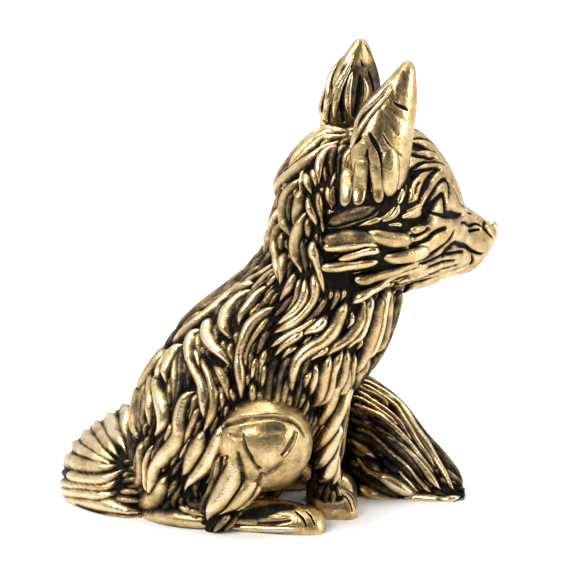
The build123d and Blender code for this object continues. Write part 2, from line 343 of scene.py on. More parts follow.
# Colour and roughness from the grooves to the rubbed tops.
BRASS_COLOURS = [
    (0.0, (0.01, 0.009, 0.008)),
    (0.26, (0.035, 0.028, 0.02)),
    (0.46, (0.15, 0.105, 0.055)),
    (0.68, (0.45, 0.31, 0.13)),
    (0.88, (0.64, 0.475, 0.24)),
    (1.0, (0.74, 0.6, 0.39)),
]
BRASS_ROUGHNESS = [(0.1, 0.6), (0.5, 0.42), (0.9, 0.26)]

# The studio, in metres and watts. The camera doesn't see the wall, which is there for the metal to mirror.
FLOOR_HALF = 3.0
FLOOR_COLOUR = (0.9, 0.9, 0.9)
WALL_HALF = 1.0
WALL_Y = -0.6
WALL_TOP = 0.9
WALL_COLOUR = (0.06, 0.055, 0.05)
BOARD_ROUGHNESS = 0.9
LIGHT_TARGET = (0, 0, 0.015)
# Name, place, size, power.
SOFT_BOXES = [
    ("key", (-0.2, -0.22, 0.3), (0.22, 0.16), 1.6),
    ("top", (0.05, 0.1, 0.4), (0.3, 0.3), 1.4),
    ("side", (0.35, -0.15, 0.12), (0.1, 0.2), 0.5),
]
# The world's light where it is neither seen nor mirrored.
WORLD_LIGHT = 0.5

# Strokes: locks and grooves as (x, y, half width) in the photograph's pixels, from root to tip.
FLANK_LOCKS = [
    [(250, 282, 2.5), (232, 292, 2.5), (215, 306, 2.5), (200, 318, 2.5), (185, 330, 2.5), (170, 342, 2)],
    [(250, 288, 2), (238, 297, 2.5), (227, 308, 3.5), (223, 320, 5), (225, 331, 5), (231, 339, 2.5)],
    [(268, 284, 2), (258, 294, 2.5), (248, 306, 3.5), (240, 316, 4.5), (237, 324, 3.5)],
    [(272, 308, 3), (260, 315, 3.5), (250, 325, 4), (243, 340, 3.5), (238, 355, 3), (239, 370, 4),
     (241, 385, 4.5), (241, 399, 5)],
    [(267, 319, 2.5), (258, 330, 2.5), (250, 343, 2), (246, 356, 1.8), (245, 372, 1.5)],
    [(255, 358, 1.5), (253, 370, 2), (251, 380, 1.5)],
    [(265, 365, 1.5), (263, 378, 2), (261, 390, 1.5)],
    [(229, 386, 3), (232, 395, 5), (234, 404, 3)],
    [(212, 365, 2), (219, 372, 3.5), (224, 382, 4), (227, 392, 3), (229, 402, 2)],
    [(208, 318, 2), (205, 328, 4), (206, 337, 4.5), (212, 346, 4), (220, 354, 3.5), (227, 361, 2.5),
     (233, 372, 1.5)],
    [(199, 327, 1.5), (192, 335, 3), (188, 345, 3.5), (188, 355, 3.5), (190, 364, 2.5), (195, 374, 3),
     (201, 384, 4), (203, 396, 4.5), (203, 410, 4), (203, 421, 2)],
    [(200, 357, 1.5), (204, 365, 2.5), (209, 376, 3), (213, 390, 3.5), (213, 404, 3.5), (211, 416, 3.5),
     (206, 427, 3), (201, 434, 2.5)],
    [(194, 349, 1), (196, 358, 1.2), (199, 368, 1)],
    [(180, 344, 2), (172, 352, 4.5), (167, 363, 5), (164, 374, 4.5), (164, 384, 3)],
    [(176, 345, 1.5), (167, 352, 1.5), (160, 362, 1.8), (157, 374, 2), (156, 386, 1.5)],
    [(155, 372, 2), (156, 388, 3.5), (159, 402, 5), (162, 416, 5), (160, 428, 4.5), (152, 438, 4)],
    [(165, 345, 2), (152, 360, 2.5), (144, 375, 2.5), (138, 392, 2.5), (134, 410, 2.5), (133, 425, 2.5),
     (137, 440, 2.5)],
    [(150, 372, 1.5), (149, 385, 2.5), (150, 400, 2.5), (149, 415, 2.5), (148, 428, 1.5)],
    [(192, 392, 3), (185, 399, 4.5), (180, 410, 4.5), (178, 422, 4.5), (178, 434, 5), (172, 446, 6),
     (163, 456, 6), (155, 466, 5), (152, 476, 6), (151, 488, 7), (150, 500, 6)],
    [(141, 443, 3), (140, 455, 3), (141, 468, 3.5), (139, 480, 4), (133, 492, 4), (126, 500, 3)],
    [(150, 447, 2.5), (146, 460, 2.5), (145, 473, 3), (145, 486, 4), (148, 497, 6)],
    [(203, 432, 4), (198, 445, 6), (192, 458, 6.5), (186, 470, 6), (180, 478, 4)],
    [(222, 425, 3), (217, 440, 5), (211, 455, 6), (204, 467, 6), (196, 476, 5), (187, 485, 4),
     (183, 495, 3)],
    [(165, 478, 4), (160, 490, 6), (150, 500, 7), (138, 507, 5)],
    [(140, 513, 4), (165, 518, 5), (198, 523, 5), (228, 526, 4)],
]
MANE_LOCKS = [
    [(349, 124, 1.5), (333, 130, 2), (318, 137, 2.5), (304, 148, 2.5), (294, 160, 2.5), (286, 174, 2)],
    [(344, 130, 1.5), (328, 137, 2), (314, 145, 2.5), (302, 156, 3), (292, 168, 3), (283, 180, 3)],
    [(340, 138, 1.2), (325, 147, 2), (312, 157, 2.5), (300, 165, 3.5), (288, 175, 4), (277, 188, 4),
     (272, 200, 3)],
    [(337, 143, 1.5), (326, 150, 2), (320, 160, 3), (318, 172, 3), (318, 184, 2.5)],
    [(300, 178, 2), (290, 188, 2.5), (284, 198, 3), (282, 210, 3.5), (283, 222, 3.5), (287, 232, 3),
     (290, 239, 1.5)],
    [(302, 168, 1.2), (300, 180, 1.5), (299, 192, 1.2)],
    [(300, 190, 3), (298, 203, 3.5), (295, 216, 3.5), (291, 228, 2.5)],
    [(304, 172, 2), (306, 182, 3), (309, 190, 2.5), (311, 196, 1.5)],
    [(311, 168, 2.5), (314, 178, 3), (315, 188, 2.5)],
    [(306, 196, 1.5), (309, 208, 3), (314, 220, 4), (316, 228, 2.5)],
    [(305, 212, 2), (300, 222, 3), (296, 234, 4), (294, 247, 4), (295, 258, 3.5), (299, 268, 3),
     (301, 277, 1.5)],
    [(284, 205, 2), (277, 215, 3.5), (271, 228, 4), (267, 242, 4), (262, 254, 3)],
    [(281, 222, 2), (276, 232, 2.5), (274, 245, 2.5), (275, 258, 2.5), (277, 270, 3), (278, 283, 3)],
    [(283, 252, 2), (282, 262, 3.5), (281, 274, 3.5), (278, 286, 3)],
    [(273, 262, 1), (262, 270, 1.5), (250, 278, 1.5), (238, 286, 2)],
    [(275, 266, 1), (266, 274, 1.5), (257, 283, 1.5), (248, 291, 2)],
    [(277, 272, 1), (270, 281, 1.5), (262, 290, 2)],
    [(294, 273, 2.5), (290, 284, 3), (284, 294, 3), (278, 302, 3)],
    [(299, 279, 2), (298, 288, 2.5), (296, 298, 2.5), (290, 308, 2.5), (283, 316, 2.5)],
    [(304, 280, 2), (305, 290, 3.5), (302, 300, 4), (295, 310, 4), (286, 318, 3.5), (276, 325, 3)],
    [(312, 275, 2), (315, 285, 3.5), (314, 297, 3.5), (308, 308, 3.5), (298, 318, 3.5), (286, 327, 3.5),
     (273, 334, 3)],
    [(312, 242, 3), (313, 252, 4), (316, 262, 3), (319, 272, 2.5), (321, 282, 3), (324, 294, 3)],
    [(327, 186, 2), (329, 196, 3), (332, 206, 2.5), (332, 213, 1.5)],
]
CHEST_LOCKS = [
    [(398, 289, 2), (391, 295, 2), (389, 305, 2.5), (388, 318, 3), (386, 332, 3.5), (381, 347, 4),
     (374, 357, 2)],
    [(391, 286, 2), (386, 296, 3), (384, 310, 3), (382, 325, 2.5), (378, 340, 2.5), (372, 353, 3),
     (364, 364, 2.5)],
    [(383, 298, 3.5), (379, 310, 4), (377, 325, 4), (372, 340, 4), (366, 355, 3.5), (359, 368, 3),
     (353, 380, 2)],
    [(373, 296, 2.5), (369, 308, 3), (366, 322, 3), (361, 334, 3.5), (354, 342, 3.5), (349, 350, 3)],
    [(365, 300, 2), (364, 312, 2.5), (360, 325, 3.5), (352, 335, 4), (345, 341, 4), (336, 348, 6),
     (328, 356, 6)],
    [(353, 312, 2), (352, 322, 3), (347, 330, 2.5)],
    [(347, 303, 3), (343, 312, 4), (339, 322, 4), (333, 333, 5), (324, 342, 5), (314, 348, 5),
     (305, 353, 4.5), (297, 362, 4), (293, 374, 4), (292, 386, 3.5), (293, 396, 2)],
    [(326, 318, 5), (318, 326, 5), (308, 333, 4), (300, 337, 3)],
    [(329, 344, 3), (322, 352, 3.5), (315, 358, 3), (311, 362, 2)],
    [(330, 357, 3), (327, 368, 3.5), (324, 380, 4), (322, 392, 4.5), (318, 402, 4), (313, 410, 3)],
    [(317, 366, 2), (316, 376, 2.5), (313, 388, 3), (311, 398, 2.5)],
    [(312, 372, 2), (307, 380, 3), (305, 390, 2)],
    [(343, 352, 2.5), (338, 362, 3), (334, 374, 3), (332, 386, 3), (327, 398, 4), (320, 408, 4)],
    [(349, 352, 2.5), (346, 362, 3), (344, 375, 3), (340, 387, 3), (336, 395, 2.5)],
    [(352, 357, 1.5), (350, 370, 2), (347, 383, 2.5), (341, 395, 3), (334, 408, 3)],
    [(356, 355, 2), (353, 368, 2.5), (352, 380, 2.5), (349, 390, 2), (346, 402, 3)],
    [(371, 358, 2), (365, 366, 2.5), (358, 376, 3), (355, 386, 3), (351, 395, 3)],
    [(318, 318, 1.5), (306, 326, 2), (294, 332, 2.5), (282, 339, 2.5), (270, 347, 2.5)],
    [(304, 333, 3), (293, 340, 3.5), (283, 347, 3), (274, 356, 3)],
    [(297, 348, 2), (288, 352, 2.5), (281, 360, 2.5)],
    [(353, 304, 2.5), (363, 296, 3.5), (375, 289, 3), (389, 283, 3), (404, 277, 3), (420, 271, 3)],
]
FORELEG_LOCKS = [
    [(327, 372, 4), (325, 385, 4.5), (321, 398, 4), (314, 409, 3), (310, 417, 1.5)],
    [(340, 372, 3), (336, 388, 4), (332, 402, 4.5), (326, 414, 4), (318, 424, 3), (312, 430, 1.5)],
    [(352, 385, 3), (347, 398, 4), (341, 412, 4), (334, 426, 4.5), (326, 438, 4.5), (318, 447, 4),
     (311, 453, 2)],
    [(341, 424, 2.5), (337, 436, 3.5), (331, 449, 5), (324, 459, 5.5), (317, 466, 5), (311, 469, 3)],
    [(340, 433, 2), (337, 447, 2.5), (334, 460, 3.5), (330, 472, 5), (322, 480, 5), (315, 480, 3)],
    [(339, 452, 1.5), (338, 465, 2), (337, 478, 2.5), (333, 487, 2.5)],
    [(341, 465, 1), (340, 480, 1.5), (343, 490, 1)],
    [(324, 424, 1.5), (318, 433, 1.5), (311, 443, 2)],
]
TAIL_ROOT_LOCKS = [
    [(124, 406, 4), (125, 420, 4.5), (128, 434, 3)],
    [(107, 410, 5), (110, 418, 5), (113, 428, 5.5), (120, 441, 4), (126, 452, 2)],
    [(92, 416, 3), (97, 425, 3.5), (101, 433, 4), (109, 446, 4), (119, 457, 2)],
    [(78, 425, 4), (86, 435, 4.5), (92, 444, 5), (103, 453, 4), (116, 461, 2.5)],
    [(66, 437, 4), (76, 446, 4), (86, 452, 4), (99, 459, 3), (112, 463, 2)],
    [(58, 455, 5), (72, 461, 5), (86, 465, 5), (102, 468, 4), (118, 464, 2)],
    [(68, 474, 4), (82, 478, 4), (98, 480, 4), (112, 476, 3), (122, 468, 2)],
    [(63, 482, 4), (78, 486, 3), (95, 488, 3), (108, 486, 3), (118, 478, 1.5)],
    [(64, 490, 4), (80, 494, 4), (98, 496, 4), (114, 493, 3)],
    [(68, 500, 5), (90, 505, 6), (115, 510, 6), (140, 514, 5)],
    [(74, 506, 3), (95, 511, 4), (120, 516, 4), (142, 519, 3)],
]
TAIL_BRUSH_LOCKS = [
    [(362, 377, 1.5), (375, 384, 1.5), (388, 393, 2), (400, 404, 2.5), (408, 416, 3), (415, 428, 3),
     (424, 440, 3), (432, 452, 2.5), (440, 464, 2.5), (448, 478, 2.5), (456, 490, 2.5)],
    [(361, 382, 1.5), (374, 389, 1.5), (386, 397, 1.5), (397, 407, 2), (404, 419, 2.5), (410, 430, 2.5),
     (418, 441, 2), (428, 455, 2), (437, 467, 2)],
    [(356, 389, 1.5), (368, 396, 2), (380, 405, 2), (391, 413, 2), (400, 422, 2), (409, 434, 1.5),
     (416, 443, 1.2)],
    [(352, 395, 1.5), (365, 400, 2), (378, 408, 1.8), (390, 417, 1.8), (400, 426, 1.5)],
    [(349, 403, 1.5), (362, 407, 2), (375, 413, 2.5), (387, 420, 2.5), (398, 430, 2.5), (408, 440, 2),
     (418, 452, 2), (428, 465, 2), (436, 478, 2)],
    [(347, 414, 1.2), (360, 418, 1.2), (373, 424, 1.5), (386, 432, 1.5), (398, 441, 1.5), (408, 450, 2),
     (416, 458, 2.5), (424, 468, 3.5), (433, 480, 3.5), (442, 491, 2)],
    [(352, 416, 1), (366, 421, 1), (379, 429, 1.2), (391, 438, 1.2), (402, 448, 1.2)],
    [(355, 428, 2), (368, 433, 2), (380, 442, 1.8), (392, 453, 1.8), (402, 462, 2), (412, 472, 2),
     (422, 484, 2.2), (432, 494, 2)],
    [(343, 440, 3), (353, 443, 3), (364, 450, 4), (375, 458, 4)],
    [(398, 470, 1), (405, 478, 1.5), (413, 486, 1.5), (420, 494, 1.2)],
    [(352, 454, 1), (360, 462, 1.5), (367, 470, 2), (376, 475, 3), (386, 480, 5), (396, 486, 6),
     (408, 492, 6), (420, 496, 5)],
    [(356, 484, 2), (364, 490, 4), (374, 495, 4.5), (386, 498, 3), (398, 500, 2)],
    [(405, 500, 3), (420, 501, 3), (440, 501, 3), (455, 499, 3.5), (463, 496, 3)],
]
CHEEK_LOCKS = [
    [(378, 247, 1.5), (366, 245, 3), (352, 247, 4), (338, 248.5, 4.5), (323, 247, 4)],
    [(381, 254, 2), (374, 251.5, 4), (362, 254, 3.5), (350, 258, 3.5), (337, 260, 1.5)],
    [(380, 263, 2.5), (366, 265, 4.5), (350, 267, 5), (335, 268, 4.5), (321, 267, 4)],
    [(415, 267, 2), (403, 270, 3.5), (390, 274, 5), (375, 277, 5.5), (363, 280, 5), (354, 280, 4)],
    [(413, 243, 4), (404, 241, 6.5), (392, 240, 7), (380, 237, 6), (369, 232, 4)],
    [(430, 249, 7), (418, 254, 7.5), (408, 257, 7), (396, 259, 6), (384, 259, 5)],
    [(428, 227, 1.5), (419, 229.5, 3.5), (411, 231, 3)],
    [(430, 233, 2), (420, 239, 2.5), (412, 241, 2)],
    [(400, 204, 1), (398, 211, 2.5), (392, 218, 2), (383, 222, 1)],
    [(403, 225, 2), (397, 225, 1.5), (389, 226, 1)],
    [(424, 206, 1.5), (412, 214, 2.2), (402, 218, 1.8)],
    [(430, 266, 3.5), (416, 270, 3.5), (402, 275, 3), (390, 281, 3), (378, 287, 3), (365, 295, 3)],
    [(430, 273, 3), (420, 277, 3), (408, 281, 2.5), (397, 285, 2)],
    [(472, 266, 2), (460, 270, 3), (445, 275, 3.5), (430, 281, 3.5), (415, 287, 3), (405, 292, 2.5)],
]
# Cheek locks rubbed less than the others, so that they come out darker.
DARKER_CHEEK_LOCKS = [
    [(379, 244, 1.5), (371, 240, 4), (362, 237, 6), (350, 237, 7), (337, 239, 6.5), (323, 241, 5)],
    [(375, 207, 3), (364, 211, 5), (352, 215, 5.5), (340, 219, 5), (328, 223, 4)],
    [(334, 187, 2), (332, 197, 3.5), (333, 207, 3)],
]
NEAR_EAR_LOCKS = [
    [(340, 163, 2), (344, 148, 2), (352, 133, 2), (361, 118, 2), (372, 104, 2), (383, 92, 2),
     (393, 80, 1.5)],
    [(344, 163, 1.5), (349, 150, 2), (356, 138, 2), (364, 124, 2), (374, 110, 2), (386, 97, 2),
     (394, 86, 1.5)],
]
EAR_LOBES = [
    [(354, 148, 4), (349, 160, 6), (347, 172, 6.2), (345, 188, 6), (343, 207, 5)],
    [(363, 150, 5), (361, 163, 6.5), (360, 176, 6.8), (359, 190, 6), (358, 206, 5)],
    [(372, 152, 4), (375, 166, 5), (377, 178, 5.4), (378, 190, 5.2), (378, 203, 4.6)],
    [(389, 140, 6), (391, 155, 8), (391, 170, 8.5), (390, 184, 8), (389, 197, 6)],
    [(408, 180, 2), (405, 190, 3), (400, 203, 2)],
]
FAR_EAR_LOCKS = [
    [(354, 55, 1.5), (345, 72, 2), (335, 89, 2.5), (328, 104, 3), (322, 122, 3)],
    [(351, 66, 1.5), (341, 84, 2.5), (336, 100, 3), (334, 119, 3)],
    [(352, 72, 1.5), (348, 88, 2.5), (347, 103, 3), (350, 117, 3)],
    [(364, 78, 1), (366, 90, 2.5), (363, 103, 3)],
]
FAR_EAR_GROOVES = [
    [(352, 66, 1), (347, 75, 1.5), (343, 86, 2), (340, 98, 2.5), (342, 110, 2.5), (343, 121, 2)],
    [(360, 76, 1), (359, 90, 2.5), (357, 105, 2.5), (354, 116, 2)],
    [(369, 72, 0.8), (372, 82, 1.2), (374, 90, 1.2)],
    [(365, 45, 0.6), (371, 55, 0.7), (375, 64, 0.7), (378, 70, 0.6)],
    [(334, 90, 1), (330, 104, 1.5), (328, 122, 2)],
    [(361, 60, 0.6), (363, 66, 1)],
]
NEAR_EAR_GROOVES = [
    [(370, 134, 1.5), (373, 140, 2.6), (377, 147, 2.6), (380, 155, 1.8), (383, 168, 1.3), (385, 180, 2)],
    [(367, 150, 1), (367, 157, 1.5), (369, 165, 1.8), (372, 175, 1.8), (373, 185, 2.2)],
    [(361, 138, 1), (355, 142, 2), (349, 147, 2.2), (343, 153, 1.8), (340, 157, 1)],
    [(364, 116, 0.7), (357, 127, 0.8), (350, 139, 0.9), (343, 152, 1)],
    [(382, 152, 0.7), (384, 158, 0.9), (388, 163, 0.9), (393, 167, 0.8), (398, 169, 0.5)],
    [(383, 134, 0.6), (388, 143, 0.8), (394, 149, 0.7), (402, 156, 0.5)],
    [(357, 172, 1.5), (354, 177, 2), (352, 185, 2)],
    [(368, 170, 1.5), (368, 178, 3), (367, 186, 4.5), (366, 194, 4.5)],
    [(394, 102, 0.6), (398, 105, 1.6), (404, 108, 1.8), (407, 110, 0.8)],
]
# Dark patches on the near ear's outer face, barely cut: painted shade of hollows.
NEAR_EAR_SHADED_SCOOPS = [
    [(404, 72, 3), (404, 84, 5.5), (404, 96, 5.5), (403, 103, 3)],
    [(376, 106, 4), (369, 116, 6), (363, 127, 6), (358, 137, 5)],
    [(380, 106, 3), (381, 118, 5), (380, 130, 5), (378, 140, 4)],
    [(383, 112, 2), (388, 120, 3.5), (393, 128, 4), (397, 134, 3)],
    [(388, 108, 2), (394, 112, 3.5), (400, 117, 3.5), (405, 121, 2)],
    [(366, 140, 4), (368, 148, 5), (366, 156, 4)],
    [(392, 84, 2), (393, 94, 3), (394, 104, 2)],
]
FACE_GROOVES = [
    [(403, 182, 2), (409, 177, 3), (414, 173, 3.5), (421, 170, 2), (430, 168.5, 1.2), (440, 168, 0.8)],
    [(404, 206, 2.5), (408, 197, 1.5), (409, 188, 1), (411, 182, 1.5), (415, 176, 2)],
    [(416, 193, 0.6), (418, 187, 0.8), (421, 182, 0.8)],
    [(420, 202, 1.2), (423, 193, 1.6), (427, 184, 2.5), (431, 177, 2), (437, 171, 1.2), (441, 169, 0.8)],
    [(425, 209, 1.2), (429, 201, 1.3), (434, 193, 1.3), (440, 184, 1.4), (444, 180, 1.6), (447, 179, 1.6),
     (449, 184, 1.3), (450, 193, 1), (450, 199, 0.7)],
    [(426, 221, 3.2), (428, 213, 3.2), (432, 207, 2.8), (436, 201, 2), (440, 197, 1.8), (443, 194, 1.8),
     (445, 198, 1.2), (446, 205, 1.1), (447, 210, 1.6)],
    [(432, 213, 1), (439, 215, 1), (446, 216, 2), (452, 215, 3.2), (457, 216, 2.4), (463, 214.5, 0.8)],
    [(452, 176, 0.5), (454, 186, 0.6), (458, 196, 0.7), (464, 206, 0.8), (471, 212.5, 0.8),
     (479, 218, 0.6)],
    [(462, 224, 0.8), (468, 224, 1), (475, 223.5, 1), (482, 225, 0.8)],
    [(469, 230.5, 1), (474, 230, 1.1), (480, 229, 0.7)],
    [(486, 220, 1), (485, 226, 1.3), (488, 231, 1), (493, 237, 0.6)],
    [(386, 229, 3), (396, 229.5, 3), (404, 227, 4.5), (411, 225, 4.5), (419, 222, 3), (427, 218, 3)],
    [(385, 211, 4), (394, 207, 3), (403, 207, 2.5), (411, 206, 2), (418, 203, 1.5)],
    [(412, 236, 1), (418, 236, 0.9), (424, 234, 1), (430, 229, 1)],
    [(446, 228.5, 1.4), (439, 231, 1.6), (433, 235, 1.6), (427, 240, 1.6), (420, 243, 1.8),
     (413, 247, 1.8)],
    [(455, 232, 0.8), (452, 238, 1.2), (447, 244, 1.2), (441, 249, 1.2), (434, 254, 1.2), (426, 259, 1.2),
     (417, 262, 1), (408, 264.5, 1)],
    [(483, 254, 0.7), (476, 252.5, 1.2), (470, 249.5, 1.6), (463, 246, 2), (456, 243.5, 1.6), (452, 247, 2),
     (447, 252, 2), (442, 256, 1.3), (436, 259.5, 1.2), (428, 263, 1), (421, 265, 0.8)],
    [(464, 253, 1.2), (457, 253, 1.3), (450, 254.5, 1.3), (445, 257, 1.5)],
    [(456, 261, 0.7), (448, 262, 1), (440, 264.5, 1.5), (432, 267.5, 1.5), (424, 269, 1), (414, 271, 1)],
    [(458, 265.5, 0.6), (450, 267.5, 0.7), (443, 270, 0.8), (432, 275, 1), (420, 279, 1), (409, 283, 1)],
    [(473, 256, 0.8), (473, 261, 1), (470, 266, 1.2), (464, 269.5, 1.2), (456, 271.5, 1.2), (448, 274, 1),
     (440, 276, 0.8)],
    [(433, 279, 1), (422, 282, 1.4), (412, 285, 1.6), (405, 290, 1.6)],
    [(411, 141, 2), (415, 145, 3.2), (421, 146, 2.4), (426, 147.3, 1), (432, 149, 0.9), (438, 152.5, 0.7)],
    [(411, 153, 1.4), (417, 154, 1.6), (424, 155.5, 1.5), (431, 157.5, 1), (436, 157.5, 0.6)],
    [(413, 167, 1), (417, 165.5, 1.5), (421, 163, 1.5), (427, 161.5, 1), (434, 161, 0.9), (441, 162, 0.9),
     (446, 165, 0.7)],
    [(403, 172, 1.5), (407, 169.5, 1.5), (411, 168, 1)],
]
# Furrows along the forehead's middle, which the photograph hardly shows: the shares of the face's length
# at which each starts and ends, its share of the way round from the middle, and its half width. They draw
# together by a share of their distance.
FURROW_DRAW = 0.3
FOREHEAD_FURROWS = [
    (0.2, 0.44, 0.0, 0.2),
    (0.13, 0.36, 0.026, 0.24),
    (0.24, 0.5, 0.044, 0.2),
    (0.12, 0.34, 0.066, 0.24),
]
SHANK_LOCKS = [
    [(233, 448, 3), (234, 462, 4.5), (232, 476, 6), (226, 489, 8), (217, 501, 8), (209, 513, 6),
     (205, 522, 4)],
    [(247, 456, 3), (251, 470, 4.5), (252, 482, 4.5), (246, 493, 4.5), (236, 503, 4), (226, 511, 3),
     (216, 517, 2)],
    [(262, 470, 3), (261, 482, 3.5), (254, 494, 3.5), (245, 505, 3), (236, 513, 2)],
]
FOOT_LOCKS = [
    [(207, 522, 3), (222, 526, 4), (245, 528, 3.5), (275, 529, 3.5), (305, 529, 3)],
    [(268, 516, 2), (280, 517, 3), (292, 516, 2)],
]
# Shallow scoops on the thigh, darkened as a painted dark reflection: olive patches on the polished metal.
THIGH_DARK_REFLECTION_SCOOPS = [
    [(240, 430, 4), (252, 426, 6), (266, 428, 8), (280, 429, 5)],
    [(229, 434, 3), (236, 436, 5), (240, 437, 3)],
    [(282, 463, 4), (274, 469, 5), (264, 476, 4)],
]
FOOT_SCOOPS = [
    [(236, 514, 4), (250, 514, 8), (264, 512, 9), (278, 507, 6), (292, 506, 4)],
    [(258, 523, 2), (274, 523, 3), (290, 521, 2)],
]
THIGH_GROOVES = [
    [(224, 425, 2), (240, 420, 2.5), (260, 417.5, 2.2), (282, 418, 2), (297, 424, 1.5), (304, 435, 1)],
    [(296, 433, 1.5), (290, 445, 2), (283, 455, 1.5)],
    [(243, 434, 0.8), (245, 446, 1.2), (251, 457, 1.4), (259, 469, 1.6)],
    [(237, 454, 2), (240, 468, 3.5), (242, 482, 4), (237, 492, 3), (226, 503, 2), (212, 512, 2)],
    [(262, 475, 2), (255, 487, 3), (248, 497, 3), (238, 508, 2), (225, 516, 2)],
    [(227, 457, 1.5), (222, 466, 3), (215, 473, 3), (208, 478, 2)],
]
FOOT_GROOVES = [
    [(306, 511, 1), (311, 517, 1.2), (315, 526, 1)],
    [(296, 512, 1.2), (303, 519, 1.5), (306, 527, 1.2)],
]
PAW_GROOVES = [
    [(341, 494, 1), (348, 500, 1.2), (352, 511, 1)],
    [(347, 492, 0.8), (353, 499, 1), (356, 508, 0.8)],
]
PAW_SCOOPS = [
    [(314, 495, 4), (326, 497, 8), (338, 497, 7)],
]


def smooth_rows(rows, count, span=(0, 1)):
    """A table's columns carried smoothly through its rows: a Catmull-Rom curve, sampled evenly.

    The span is the share of the table to start and end at.
    """
    table = np.asarray(rows, float)
    padded = np.vstack([2 * table[0] - table[1], table, 2 * table[-1] - table[-2]])
    place = np.linspace(*span, count) * (len(table) - 1)
    i = np.minimum(place.astype(int), len(table) - 2)
    t = (place - i)[:, None]
    before, start, end, after = (padded[i + k] for k in range(4))
    return 0.5 * (
        2 * start
        + (end - before) * t
        + (2 * before - 5 * start + 4 * end - after) * t**2
        + (3 * start - before - 3 * end + after) * t**3
    )


def unit(vectors):
    """Vectors at length one."""
    return vectors / np.maximum(np.linalg.norm(vectors, axis=-1, keepdims=True), 1e-9)


def columns(*values):
    """Columns side by side as an array of points."""
    return np.stack(np.broadcast_arrays(*values), -1).astype(float)


def ellipse_tube(centre, first, second, around):
    """Ellipses along a path: centre + first * cos(angle) + second * sin(angle), one ring a row."""
    angle = np.linspace(0, 2 * pi, around, endpoint=False)[None, :, None]
    return centre[:, None] + first[:, None] * np.cos(angle) + second[:, None] * np.sin(angle)


def on_head(ahead, left, above):
    """Points given in the turned head's own directions."""
    return columns(
        HEAD_X + ahead * cos(HEAD_TURN) - left * sin(HEAD_TURN),
        ahead * sin(HEAD_TURN) + left * cos(HEAD_TURN),
        HEAD_LEVEL + above,
    )


def camera_axes():
    """The camera's right, up and backward directions."""
    back = Vector((0, -cos(CAMERA_ELEVATION), sin(CAMERA_ELEVATION)))
    right = Vector((1, 0, 0))
    return right, back.cross(right), back


def camera_place():
    """The camera's place in millimetres, at which the origin falls on its pixel."""
    right, up, back = camera_axes()
    across = (PICTURE / 2 - ORIGIN_PIXEL[0]) / PIXELS_PER_MM
    above = (ORIGIN_PIXEL[1] - PICTURE / 2) / PIXELS_PER_MM
    return right * across + up * above + back * CAMERA_DISTANCE


def to_pixels(points):
    """Where points fall in the photograph."""
    right, up, back = (np.array(axis) for axis in camera_axes())
    offset = points - np.array(camera_place())
    scale = CAMERA_DISTANCE * PIXELS_PER_MM / -(offset @ back)
    return np.stack([PICTURE / 2 + scale * (offset @ right), PICTURE / 2 - scale * (offset @ up)], -1)


def box_round(grid, path, margin):
    """Which of a grid's points lie in the box about a path, with a margin on each side."""
    return ((grid > path.min(0) - margin) & (grid < path.max(0) + margin)).all(-1)


